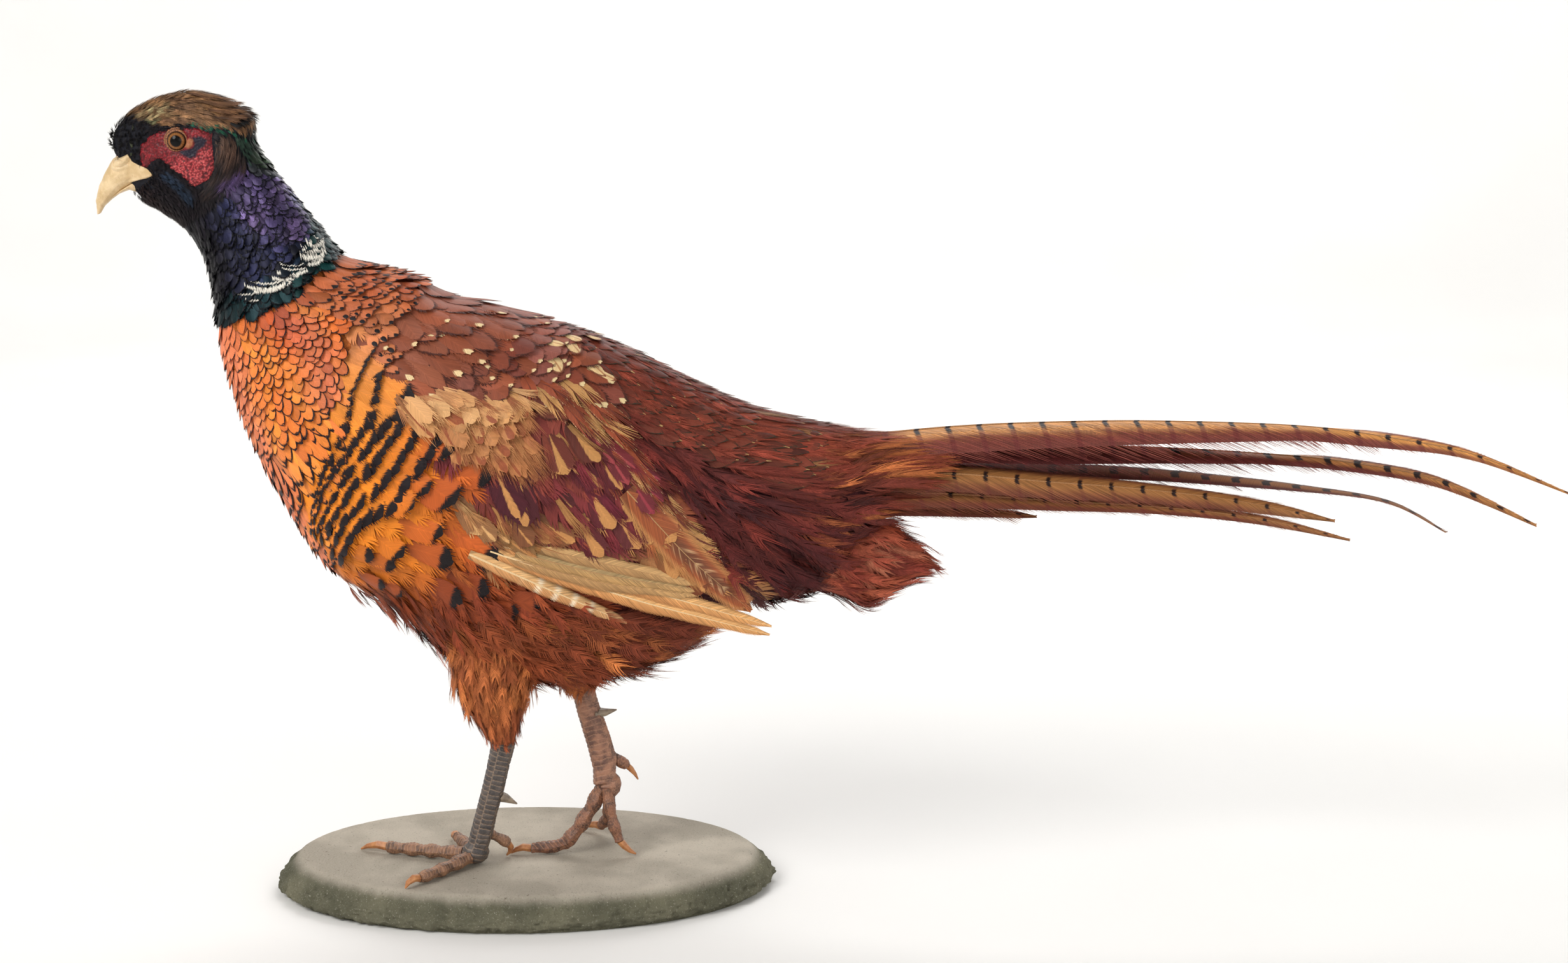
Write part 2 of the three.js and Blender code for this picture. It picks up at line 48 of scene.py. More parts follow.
MEDIAN = 14.0  # X of the bird's own plane of symmetry
SIDES = ("left", "right")
rng = np.random.default_rng(11)

# ---------------------------------------------------------------- the view of the bird's left side

EYE_POINT = np.array([1480.4, 150.0, 527.2])  # the camera's place
PITCH = math.radians(11.0)
FOCAL = 4166.67  # in pixels
MIDDLE = (1231.5, 756.0)  # the picture's middle, in pixels
PIXEL_MM = 0.345  # a pixel's size at the bird's left side
HEAD_PIXEL_MM = 0.36  # and at its head
AHEAD = np.array([-math.cos(PITCH), 0.0, -math.sin(PITCH)])
UPWARD = np.array([-math.sin(PITCH), 0.0, math.cos(PITCH)])


def seen_at(points):
    """Where points of the bird show in the picture, those of its right side as if mirrored to the left."""
    p = np.array(points, float)
    p[..., 0] = MEDIAN + np.abs(p[..., 0] - MEDIAN)
    v = p - EYE_POINT
    depth = v @ AHEAD
    return np.stack([MIDDLE[0] + FOCAL * v[..., 1] / depth, MIDDLE[1] - FOCAL * (v @ UPWARD) / depth], -1)


def sight_line(place):
    """The direction, one long ahead, in which a place of the picture is seen."""
    x = (place[0] - MIDDLE[0]) / FOCAL
    y = (place[1] - MIDDLE[1]) / FOCAL
    return AHEAD + np.array([0.0, x, 0.0]) - UPWARD * y


def at_plane(place, x):
    """The point of the plane X = x that shows at that place of the picture."""
    line = sight_line(place)
    return EYE_POINT + line * (x - EYE_POINT[0]) / line[0]


def inside(places, outline):
    """Which places lie inside a closed outline."""
    x, y = places[..., 0], places[..., 1]
    hit = np.zeros(x.shape, bool)
    ring = np.array(outline, float)
    for (ax, ay), (bx, by) in zip(ring, np.roll(ring, -1, 0)):
        crosses = (ay > y) != (by > y)
        with np.errstate(divide="ignore", invalid="ignore"):
            hit ^= crosses & (x < (bx - ax) * (y - ay) / (by - ay) + ax)
    return hit


def gap_to(places, line):
    """Distance of places from a line of points."""
    p = places[..., None, :]
    a = np.array(line[:-1], float)
    d = np.array(line[1:], float) - a
    t = np.clip(((p - a) * d).sum(-1) / (d * d).sum(-1), 0, 1)
    return np.linalg.norm(p - a - t[..., None] * d, axis=-1).min(-1)


def edge_gap(places, outline):
    """Distance of places from a closed outline."""
    return gap_to(places, outline + outline[:1])


def run_along(points):
    """Distance of each point of a line from its start."""
    return np.r_[0, np.cumsum(np.linalg.norm(np.diff(points, axis=0), axis=1))]


def smooth_rows(rows, times):
    """Evens out each row with its neighbours, in place; the first and last row stay."""
    for _ in range(times):
        rows[1:-1] = rows[1:-1] * 0.5 + (rows[:-2] + rows[2:]) * 0.25
    return rows


def ramp(value, low, high):
    """A smooth step from 0 at `low` to 1 at `high`."""
    t = np.clip((value - low) / (high - low), 0, 1)
    return t * t * (3 - 2 * t)


def ripple(places, size, seed=0):
    """A smooth random field from 0 to 1 over the picture, with patches about `size` across."""
    r = np.random.default_rng(seed)
    waves = 6
    total = 0.0
    for _ in range(waves):
        angle, phase, scale = r.uniform(0, 6.283), r.uniform(0, 6.283), r.uniform(0.7, 1.6)
        way = places[..., 0] * math.cos(angle) + places[..., 1] * math.sin(angle)
        total = total + np.sin(way / (size * scale) * 3.1 + phase)
    return np.clip(0.5 + total / waves, 0, 1)


def unit(v):
    return v / (np.linalg.norm(v, axis=-1, keepdims=True) + 1e-9)


def linear(color):
    """A colour of 0 to 255 as linear light."""
    c = np.asarray(color, float) / 255.0
    return np.where(c <= 0.04045, c / 12.92, ((c + 0.055) / 1.055) ** 2.4)


def vary(base, other, amount):
    """Colours that go from one to another by the amount, kept within 0 to 1."""
    base, other = np.asarray(base, float), np.asarray(other, float)
    return base + (other - base) * np.clip(amount, 0, 1)[..., None]


def plain(color, n):
    """The same colour for n places."""
    return np.tile(np.asarray(color, float), (n, 1))


# ---------------------------------------------------------------- surfaces


def dense(rows, steps):
    """Rows filled in with a Catmull-Rom curve, `steps` to each row."""
    rows = np.array(rows, float)
    out = []
    for i in range(len(rows) - 1):
        p, q, r, s = (rows[min(max(i + k, 0), len(rows) - 1)] for k in (-1, 0, 1, 2))
        for t in np.arange(steps) / steps:
            a, b = (r - p) / 2, (s - q) / 2
            out.append((2 * q - 2 * r + a + b) * t**3 + (-3 * q + 3 * r - 2 * a - b) * t**2 + a * t + q)
    out.append(rows[-1])
    return np.array(out)


def rings(rows, around, power=2.2, pear=0.06):
    """Closed cross-sections from rows of upper Y, Z, lower Y, Z, half width and X, evenly spaced round."""
    fine = 721
    angle = np.linspace(0, 2 * math.pi, fine)
    c, s = np.sin(angle), np.cos(angle)
    across = np.sign(c) * np.abs(c) ** (2 / power) * (1 - pear * s)
    up = np.sign(s) * np.abs(s) ** (2 / power)
    out = []
    for row in rows:
        top, low, half = row[:2], row[2:4], row[4]
        middle, rise = (top + low) / 2, (top - low) / 2
        loop = np.empty((fine, 3))
        loop[:, 0] = (row[5] if len(row) > 5 else MEDIAN) + half * across
        loop[:, 1:] = middle + up[:, None] * rise
        run = run_along(loop)
        want = np.linspace(0, run[-1], around + 1)[:-1]
        out.append(np.stack([np.interp(want, run, loop[:, k]) for k in range(3)], -1))
    return np.array(out)


def cell_quads(i, j, cols, ring=False):
    """The corners of a grid's cells (i, j); the columns of a ring close on themselves."""
    k = (j + 1) % cols if ring else j + 1
    return np.stack([i * cols + j, i * cols + k, (i + 1) * cols + k, (i + 1) * cols + j], -1).reshape(-1, 4)


def grid_quads(rows, cols, ring=False):
    i, j = np.meshgrid(np.arange(rows - 1), np.arange(cols if ring else cols - 1), indexing="ij")
    return cell_quads(i, j, cols, ring)


class Surface:
    """A tube of points with outward normals. `s` counts rows along it and `a` columns round it."""

    def __init__(self, points):
        self.p = points
        self.rows, self.cols = points.shape[:2]
        along = np.gradient(points, axis=0)
        around = (np.roll(points, -1, 1) - np.roll(points, 1, 1)) / 2
        normal = np.cross(along, around)
        normal /= np.linalg.norm(normal, axis=-1, keepdims=True) + 1e-9
        outside = points - points.mean(1, keepdims=True)
        self.n = -normal if (normal * outside).sum() < 0 else normal
        self.ms = np.linalg.norm(along, axis=-1)
        self.ma = np.linalg.norm(around, axis=-1)

    def at(self, s, a, field=None):
        """The points, or another field, at (s, a). Points go straight on past the last row."""
        grid = self.p if field is None else field
        i = np.clip(np.floor(s).astype(int), 0, self.rows - 2)
        fs = s - i if field is None else np.clip(s - i, 0, 1)
        j = np.floor(a).astype(int)
        fa = a - j
        j, k = j % self.cols, (j + 1) % self.cols
        if grid.ndim == 3:
            fs, fa = fs[..., None], fa[..., None]
        near = grid[i, j] * (1 - fa) + grid[i, k] * fa
        far = grid[i + 1, j] * (1 - fa) + grid[i + 1, k] * fa
        return near * (1 - fs) + far * fs


# Sections from the forehead to the rump: upper Y, Z, lower Y, Z and half width.
BODY_ROWS = [
    (-220.5, 431, -216.5, 418, 4), (-218.5, 439, -210.5, 406.5, 9), (-211, 447.5, -205, 400.5, 13),
    (-199.5, 454.5, -201, 397.5, 16.5), (-187, 458.7, -196, 395.5, 18.5), (-174.5, 460.5, -192, 392.5, 19),
    (-160, 457.5, -187, 389.5, 19.5), (-141.5, 446.5, -182, 385.5, 19), (-139.5, 430, -177, 381, 19.5),
    (-123, 406.5, -169.5, 367.5, 22), (-106, 384, -165.5, 343.5, 27), (-91, 368.6, -163.5, 319, 35),
    (-54, 359, -155, 287, 48), (-36, 348.6, -146.5, 266, 53), (-12, 343, -136.5, 243, 56),
    (34, 330, -107, 193, 58), (53, 322.5, -72.5, 170.5, 57), (71, 314.5, -36, 139.5, 54),
    (91, 304, 5, 128, 50), (110, 295, 47, 130, 46), (126, 288, 87, 142, 42), (144, 282, 119, 166, 38),
    (178, 274.5, 173, 184, 31), (205, 270.5, 205, 224, 23),
]
OVER_TAIL = [(250, 270.5, 250, 235, 18)]
STEPS = 8
AROUND = 168


def pinched(points):
    """Narrows the face from the eyes to the bill, where the solid head is blunt."""
    points = np.array(points, float)
    share = np.interp(points[..., 1], [-219, -210, -200, -188, -176, -160], [0.58, 0.56, 0.6, 0.8, 0.93, 1.0])
    points[..., 0] = MEDIAN + (points[..., 0] - MEDIAN) * share
    return points


body_grid = pinched(smooth_rows(rings(dense([*BODY_ROWS, *OVER_TAIL], STEPS), AROUND), 4))


def mesh_points(mesh):
    co = np.empty(len(mesh.vertices) * 3, np.float32)
    mesh.vertices.foreach_get("co", co)
    return co.reshape(-1, 3)


def cast_tree(*names):
    """Some nodes, the face narrowed, for rays to hit."""
    verts, faces = [], []
    for name in names:
        mesh = nodes[name].data
        base = len(verts)
        verts.extend(pinched(mesh_points(mesh) / MM))
        faces.extend([base + i for i in p.vertices] for p in mesh.polygons)
    return BVHTree.FromPolygons([tuple(v) for v in verts], faces)


def side_of(tree, y, z, start=80):
    """X of the left side of a tree's solids at a place, or None beside them."""
    hit = tree.ray_cast((start, y, z), (-1, 0, 0))[0]
    return None if hit is None else hit[0]


wing_tree = cast_tree("wing_left")
head_side = cast_tree("head")


def swell_wings(grid):
    """Pushes the sides of the body out to the outer face of the folded wings."""
    out = np.zeros(grid.shape[:2])
    for i in range(STEPS * 10, grid.shape[0]):
        for j in range(grid.shape[1]):
            x, y, z = grid[i, j]
            wing_x = side_of(wing_tree, y, z, 300)
            if wing_x is not None and abs(x - MEDIAN) > 22:
                out[i, j] = max(0.0, wing_x - MEDIAN - abs(x - MEDIAN) - 0.5)
    for _ in range(3):
        out = smooth_rows(out, 1)
        out = (np.roll(out, 1, 1) + 2 * out + np.roll(out, -1, 1)) / 4
    swollen = grid.copy()
    swollen[..., 0] += np.sign(grid[..., 0] - MEDIAN) * out
    return swollen


torso = Surface(swell_wings(body_grid))

# ---------------------------------------------------------------- templates of one feather


class Template:
    """One feather in its own measure: x from -1 to 1 across, y from 0 to 1 along, z raised.

    `quads` join its points, `zones` marks the quads of its rim, and u and v place a point on the vane.
    """

    KEYS = ("x", "y", "z", "quads", "zones", "u", "v")

    def __init__(self, x, y, z, quads, zones, u, v):
        self.x, self.y, self.z, self.u, self.v = (np.asarray(value, float) for value in (x, y, z, u, v))
        self.quads, self.zones = np.asarray(quads, int), np.asarray(zones, int)

    def joined(self, other):
        other.quads = other.quads + len(self.x)
        pairs = ((getattr(self, key), getattr(other, key)) for key in self.KEYS)
        return Template(*(np.concatenate(pair) for pair in pairs))


def outline(widest, root, reach, bend, close):
    """Half widths along a vane, from where it is widest, its root's width and how its end rounds."""

    def widths(y):
        start = root + (1 - root) * np.sin(y / widest * 1.571)
        end = np.clip(1 - (np.clip(y - widest, 0, 1) / reach) ** bend, 0, 1) ** close
        return np.where(y < widest, start, end)

    return widths


def lance_outline(y):
    return np.clip(np.sin(3.1416 * np.clip(y, 0, 1) ** 0.75), 0, 1) ** 0.75 + 0.03


OUTLINES = {
    "round": outline(0.55, 0.45, 0.47, 2.0, 0.5),
    "broad": outline(0.6, 0.5, 0.42, 2.6, 0.6),
    "blunt": outline(0.78, 0.45, 0.24, 2.4, 0.6),
    "lance": lance_outline,
}


def width_at(name, y):
    """An outline's half width at one place, just short of its end."""
    return float(OUTLINES[name](np.array(min(y, 0.985))))


def vane(rows, across, name, ragged, seed):
    """A closed blade whose rows are closer together towards its notched tip."""
    r = np.random.default_rng(seed)
    y = 1 - (1 - np.linspace(0, 1, rows)) ** 1.35
    width = OUTLINES[name](y)
    width[-1] = max(width[-1], 0.16)
    gx, gy = np.meshgrid(np.linspace(-1, 1, across + 1), y)
    notch = r.uniform(-ragged, ragged, gy.shape)
    py = gy - 0.05 * gx**2 * (gy > 0.3) + notch * np.clip(gy - 0.6, 0, 1) * 2.5
    z = -np.abs(gx) ** 2 * width[:, None]
    i, j = np.meshgrid(np.arange(rows - 1), np.arange(across), indexing="ij")
    rim = (i >= rows - 3) | (j == 0) | (j == across - 1)
    points = (v.ravel() for v in (gx * width[:, None], py, z))
    return Template(*points, cell_quads(i, j, across + 1), rim.ravel(), gx.ravel(), gy.ravel())


def strip(x, y, half, z):
    """One hair: a flat strip along a line with half widths."""
    line = np.stack([x, y], -1)
    way = np.gradient(line, axis=0)
    way /= np.linalg.norm(way, axis=1, keepdims=True) + 1e-9
    side = np.stack([-way[:, 1], way[:, 0]], -1) * half[:, None]
    points = np.stack([line + side, line - side], 1).reshape(-1, 2)
    quads = [(2 * k, 2 * k + 1, 2 * k + 3, 2 * k + 2) for k in range(len(line) - 1)]
    return points, np.repeat(z, 2), quads


def bundle(strips, reach=1.0):
    """Hairs joined into a feather that ends at `reach`."""
    counts = np.cumsum([0] + [len(points) for points, _, _ in strips])
    quads = np.concatenate([np.array(q) + base for (_, _, q), base in zip(strips, counts)])
    x, y = np.concatenate([points for points, _, _ in strips]).T
    z = np.concatenate([heights for _, heights, _ in strips])
    return Template(x, y, z, quads, np.zeros(len(quads)), np.clip(x, -1, 1), np.clip(y / reach, 0, 1))


def plume(barbs, angle, hair, seed, aspect, loose=0.25, first=0.08):
    """A loose feather: a shaft with long free barbs on both sides. `aspect` is half width over length."""
    r = np.random.default_rng(seed)
    shaft_y = np.linspace(0, 0.86, 4)
    strips = [strip(0 * shaft_y, shaft_y, np.array([1.6, 1.5, 1.1, 0.4]) * hair, 0.1 - 0.1 * shaft_y)]
    t = np.linspace(0, 1, 4)
    for side in (-1, 1):
        clump = 0.0
        for k in range(barbs):
            if k % 3 == 0:
                clump = r.uniform(-0.16, 0.16)
            y0 = first + (0.84 - first) * (k + r.uniform(-0.3, 0.3)) / barbs
            reach = (1.05 - 0.5 * abs(y0 - 0.35)) * r.uniform(0.8, 1.15)
            lean = angle * (1.25 - 0.75 * y0) + clump
            run = reach * aspect * t
            x = side * (run * np.sin(lean) * (1.25 - 0.3 * t)) / aspect
            y = y0 + run * np.cos(lean) * (0.9 + 0.25 * t)
            z = r.uniform(-1, 1) * loose * t**1.5 - 0.25 * t * abs(math.sin(lean))
            strips.append(strip(x, y, np.array([1.0, 1.0, 0.75, 0.2]) * hair, z))
    return bundle(strips, 1.15)


def combed(barbs, name, seed, hair, loose=0.05, ragged=0.035):
    """A firm feather combed from barbs that lie side by side and end in a frayed outline."""
    r = np.random.default_rng(seed)
    strips = []
    t = np.linspace(0, 1, 4)
    for side in (-1, 1):
        for k in range(barbs):
            fan = (k + 1) / barbs
            y1 = 0.12 + 0.88 * fan**0.85 + r.uniform(-ragged, ragged)
            end_x = side * width_at(name, y1) * np.interp(fan, [0, 0.86, 1.0], [1.0, 0.92, 0.1])
            start_y = max(0.0, y1 - 0.36 - 0.1 * fan)
            x = end_x * np.sin(t * 1.3) / math.sin(1.3)
            y = start_y + (y1 - start_y) * t**1.2
            z = 0.06 + 0.05 * side * (k % 2) + r.uniform(-1, 1) * loose * t - x**2 * 0.9
            strips.append(strip(x, y, np.array([0.9, 1.2, 1.1, 0.25]) * hair, z))
    return bundle(strips)


def fringed(name, seed, hairs=15, reach=0.09, hair=0.03):
    """A closed vane with the loose ends of its barbs along the edge."""
    r = np.random.default_rng(seed)
    strips, across = [], []
    t = np.linspace(0, 1, 3)
    for side in (-1, 1):
        for k in range(hairs):
            y0 = 0.28 + 0.71 * (k + r.uniform(0, 0.8)) / hairs
            edge = width_at(name, min(y0, 0.98))
            size = reach * r.uniform(0.5, 1.4)
            x = side * (edge * (0.84 + 0.15 * t) + 0.05 * t * (1 - y0) + r.uniform(-0.03, 0.03) * t)
            y = y0 - 0.05 + (size + 0.05) * t
            strips.append(strip(x, y, np.array([1.0, 0.8, 0.2]) * hair, 0.04 - 0.8 * edge + 0.1 * t))
            across.extend(np.repeat(x / max(edge, 0.3), 2))
    edge_hairs = bundle(strips)
    edge_hairs.u = np.clip(across, -1, 1)
    return vane(7, 6, name, 0.02, seed).joined(edge_hairs)


def wisp(hairs, spread, hair, seed, loose, curl):
    """A pinch of hair-like feathers from one root."""
    r = np.random.default_rng(seed)
    strips = []
    t = np.linspace(0, 1, 3)
    for k in range(hairs):
        f = (k + 0.5) / hairs * 2 - 1 + r.uniform(-0.15, 0.15)
        size = r.uniform(0.75, 1.05)
        x = f * spread * (0.35 + 0.65 * t) + curl * t * t * r.uniform(-1, 1)
        strips.append(strip(x, size * t, np.array([1, 0.9, 0.12]) * hair, r.uniform(-1, 1) * loose * t))
    return bundle(strips)


# ---------------------------------------------------------------- joined coats


class Coat:
    """Many feathers joined into one mesh, with the colours and measures that the materials read."""

    FIELDS = ("tint", "mark", "spot", "pat", "fea", "grain", "streak")

    def __init__(self, name):
        self.name = name
        self.parts = []
        self.count = 0

    def add(self, verts, quads, uv, fields):
        self.parts.append((verts, quads + self.count, uv, fields))
        self.count += len(verts)

    def build(self, material, slot):
        verts, quads, uv = (np.concatenate([part[k] for part in self.parts]) for k in range(3))
        fields = {key: np.concatenate([part[3][key] for part in self.parts]) for key in self.FIELDS}
        obj = mesh_object(self.name, verts * MM, quads, uv, fields)
        obj.data.materials.append(material)
        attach(obj, "root")
        print(self.name, "triangles", len(quads) * 2)
        return obj


def mesh_object(name, verts, faces, uv=None, fields=None):
    """A smooth object of triangles or quads. Its fields are numbers or vectors at the points."""
    mesh = bpy.data.meshes.new(name)
    faces = np.asarray(faces)
    mesh.vertices.add(len(verts))
    mesh.vertices.foreach_set("co", np.asarray(verts, np.float32).ravel())
    mesh.loops.add(faces.size)
    mesh.loops.foreach_set("vertex_index", faces.astype(np.int32).ravel())
    mesh.polygons.add(len(faces))
    mesh.polygons.foreach_set("loop_start", np.arange(0, faces.size, faces.shape[1], dtype=np.int32))
    mesh.update(calc_edges=True)
    mesh.polygons.foreach_set("use_smooth", np.ones(len(faces), bool))
    if uv is not None:
        layer = mesh.uv_layers.new(name="OFBake")
        layer.data.foreach_set("uv", np.asarray(uv, np.float32).ravel())
    for key, values in (fields or {}).items():
        values = np.asarray(values, np.float32)
        kind, member = ("FLOAT", "value") if values.ndim == 1 else ("FLOAT_VECTOR", "vector")
        mesh.attributes.new(key, kind, "POINT").data.foreach_set(member, values.ravel())
    obj = bpy.data.objects.new(name, mesh)
    bpy.context.scene.collection.objects.link(obj)
    return obj


PATCH = 0.003  # a feather's size in its coat's UV map


def laid_template(t, surf, mirror, *, s, a, turn, length, width, low, high, arch, bend, tip, roll, u, v,
                  ident, **own):
    """The points, quads, UV places and fields of one template at many roots, each feather a row."""
    x, y = t.x * width, t.y * length
    side = x + bend * y * y / np.maximum(length, 1e-6)
    ss = s + (y * np.cos(turn) - side * np.sin(turn)) / (surf.at(s, a, surf.ms) + 1e-6)
    aa = a + (y * np.sin(turn) + side * np.cos(turn)) / (surf.at(s, a, surf.ma) + 1e-6)
    height = low + (high - low) * t.y + t.z * arch * width
    height = height + tip * t.y * length * 0.1 + roll * t.x * width * 0.15
    points = surf.at(ss, aa) + surf.at(ss, aa, surf.n) * height[..., None]
    count, size = x.shape
    quads = (t.quads + (np.arange(count) * size)[:, None, None]).reshape(-1, 4)
    corner = t.quads
    if mirror:
        points[..., 0] = 2 * MEDIAN - points[..., 0]
        quads, corner = quads[:, ::-1], corner[:, ::-1]
    shift = np.where(t.zones[:, None] == 1, PATCH * 1.6, 0.0)
    uu = u[..., None] + ((0.5 + t.u[corner] * 0.5) * PATCH + shift)
    vv = v[..., None] + t.v[corner] * PATCH
    fields = {key: np.repeat(values, size, 0) for key, values in own.items()}
    fields["fea"] = np.stack([np.tile(t.u, count), np.tile(t.v, count), np.repeat(ident, size)], -1)
    fields["grain"] = (y - 1.25 * np.abs(x)).ravel()
    return points.reshape(-1, 3), quads, np.stack([uu, vv], -1).reshape(-1, 2), fields


def scatter(coat, templates, surf, s, a, *, length, width, lift, arch, tint, shade, wild, turn=0.0, bend=0.0,
            streak=0.0, mark=(20, 16, 20), spot=(20, 16, 20), pat=(0, 0, 0), region=(0, 0, 1, 1),
            mirror=False):
    """Lays a feather at each root (s, a) of a surface and follows the surface from root to tip.

    `lift` raises the root and the tip, `arch` bows the vane, `shade` and `wild` spread its light and its set,
    and `pat` gives the shares of rim, tip band and tip spot, which show the colours `mark` and `spot`.
    """
    n = len(s)

    def column(value):
        return np.broadcast_to(np.asarray(value, float), (n,))[:, None]

    glow = 1 + rng.normal(0, shade, n)[:, None].clip(-2.2 * shade, 2.2 * shade)
    which = rng.integers(0, len(templates), n)
    ident = rng.uniform(0, 1, n)
    tilt = rng.normal(0, 1, (n, 2)) * column(wild)
    tint, mark, spot = (np.broadcast_to(linear(np.clip(c, 0, 255)), (n, 3)) for c in (tint, mark, spot))
    around = (1 - a / surf.cols if mirror else a / surf.cols) % 1.0
    rows = {
        "s": s[:, None], "a": a[:, None], "turn": column(turn), "bend": column(bend), "arch": column(arch),
        "length": column(length), "width": column(width), "low": column(lift[0]), "high": column(lift[1]),
        "tip": tilt[:, :1], "roll": tilt[:, 1:], "ident": ident,
        "u": column(region[0] + (region[2] - region[0] - 2.6 * PATCH) * around),
        "v": column(region[1] + (region[3] - region[1] - PATCH) * np.clip(s / surf.rows, 0, 1)),
        "tint": tint * glow, "mark": mark, "spot": spot, "pat": np.hstack([column(share) for share in pat]),
        "streak": column(streak)[:, 0],
    }
    for index, template in enumerate(templates):
        pick = which == index
        if pick.any():
            picked = {key: values[pick] for key, values in rows.items()}
            coat.add(*laid_template(template, surf, mirror, **picked))


ONE_SIDE = (-0.004, 0.504)  # share of the way round that is laid and mirrored


def lattice(surf, s_range, row_mm, col_mm, a_ref, where=None, jitter=0.3, a_range=(0, 1), skew=0.0,
            last=np.inf):
    """Roots in offset rows, and their places in the picture, which `where` keeps or not.

    Rows and columns lie so many mm apart, rows as measured at the share `a_ref` of the way round, and `last`
    ends them sharply.
    """
    out_s, out_a = [], []
    s, k = float(s_range[0]), 0
    wide = a_range[1] - a_range[0]
    while s < s_range[1]:
        step = row_mm(s) if callable(row_mm) else row_mm
        gap = col_mm(s) if callable(col_mm) else col_mm
        girth = float(surf.ma[int(np.clip(s, 0, surf.rows - 1))].sum())
        pitch = float(surf.at(np.array([s]), np.array([a_ref * surf.cols]), surf.ms)[0])
        n = max(4, int(girth * wide / gap))
        a = (np.arange(n) + 0.5 * (k % 2)) / n * wide + a_range[0]
        out_s.append(s + rng.normal(0, jitter, n) * step / pitch)
        out_a.append((a + rng.normal(0, jitter, n) * gap / girth) * surf.cols)
        s += step / pitch
        k += 1
    s, a = np.concatenate(out_s), np.concatenate(out_a)
    s = s + skew * (a / surf.cols - a_ref)
    ok = (s >= 0) & (s <= surf.rows - 1.001) & (s < last)
    s, a = s[ok], a[ok]
    q = seen_at(surf.at(s, a))
    if where is not None:
        ok = where(q)
        s, a, q = s[ok], a[ok], q[ok]
    return s, a, q


# ---------------------------------------------------------------- materials


class Graph:
    """A material's node graph. Each call adds a node and gives its output."""

    def __init__(self, name, **sockets):
        self.material = bpy.data.materials.new(name)
        self.material.use_nodes = True
        self.tree = self.material.node_tree
        self.shader = self.tree.nodes["Principled BSDF"]
        for key, value in sockets.items():
            self.shader.inputs[key.replace("_", " ")].default_value = value

    def node(self, kind, inputs=None, out=0, **settings):
        node = self.tree.nodes.new("ShaderNode" + kind)
        for key, value in settings.items():
            setattr(node, key, value)
        for key, value in (inputs or {}).items():
            self.plug(node.inputs[key], value)
        return node.outputs[out]

    def plug(self, socket, value):
        if isinstance(value, bpy.types.NodeSocket):
            self.tree.links.new(value, socket)
        else:
            socket.default_value = value

    def math(self, operation, *values):
        return self.node("Math", dict(enumerate(values)), operation=operation)

    def add(self, a, b):
        return self.math("ADD", a, b)

    def sub(self, a, b):
        return self.math("SUBTRACT", a, b)

    def mul(self, a, b):
        return self.math("MULTIPLY", a, b)

    def attr(self, name, out="Vector"):
        return self.node("Attribute", out=out, attribute_name=name)

    def split(self, vector):
        return self.node("SeparateXYZ", {0: vector}).node.outputs

    def step(self, value, low, high, to_low=0.0, to_high=1.0):
        inputs = {"Value": value, "From Min": low, "From Max": high, "To Min": to_low, "To Max": to_high}
        return self.node("MapRange", inputs, interpolation_type="SMOOTHSTEP")

    def blend(self, factor, a, b, mode="MIX"):
        return self.node("Mix", {0: factor, 6: a, 7: b}, out=2, data_type="RGBA", blend_type=mode)

    def noise(self, scale, vector=None, detail=2.0, **extra):
        vector = self.node("TexCoord", out="Object") if vector is None else vector
        return self.node("TexNoise", {"Vector": vector, "Scale": scale, "Detail": detail, **extra}, out="Fac")

    def strand_noise(self, w, scale, detail=2.0):
        inputs = {"W": w, "Scale": scale, "Detail": detail}
        return self.node("TexNoise", inputs, out="Fac", noise_dimensions="1D")

    def scaled(self, color, light):
        return self.node("VectorMath", {0: color, "Scale": light}, operation="SCALE")

    def color(self, value):
        self.plug(self.shader.inputs["Base Color"], value)

    def rough(self, value):
        self.plug(self.shader.inputs["Roughness"], value)

    def bump(self, height, strength, distance):
        inputs = {"Height": height, "Strength": strength, "Distance": distance}
        self.plug(self.shader.inputs["Normal"], self.node("Bump", inputs, out="Normal"))


def rgba(color):
    return (*linear(color), 1.0)


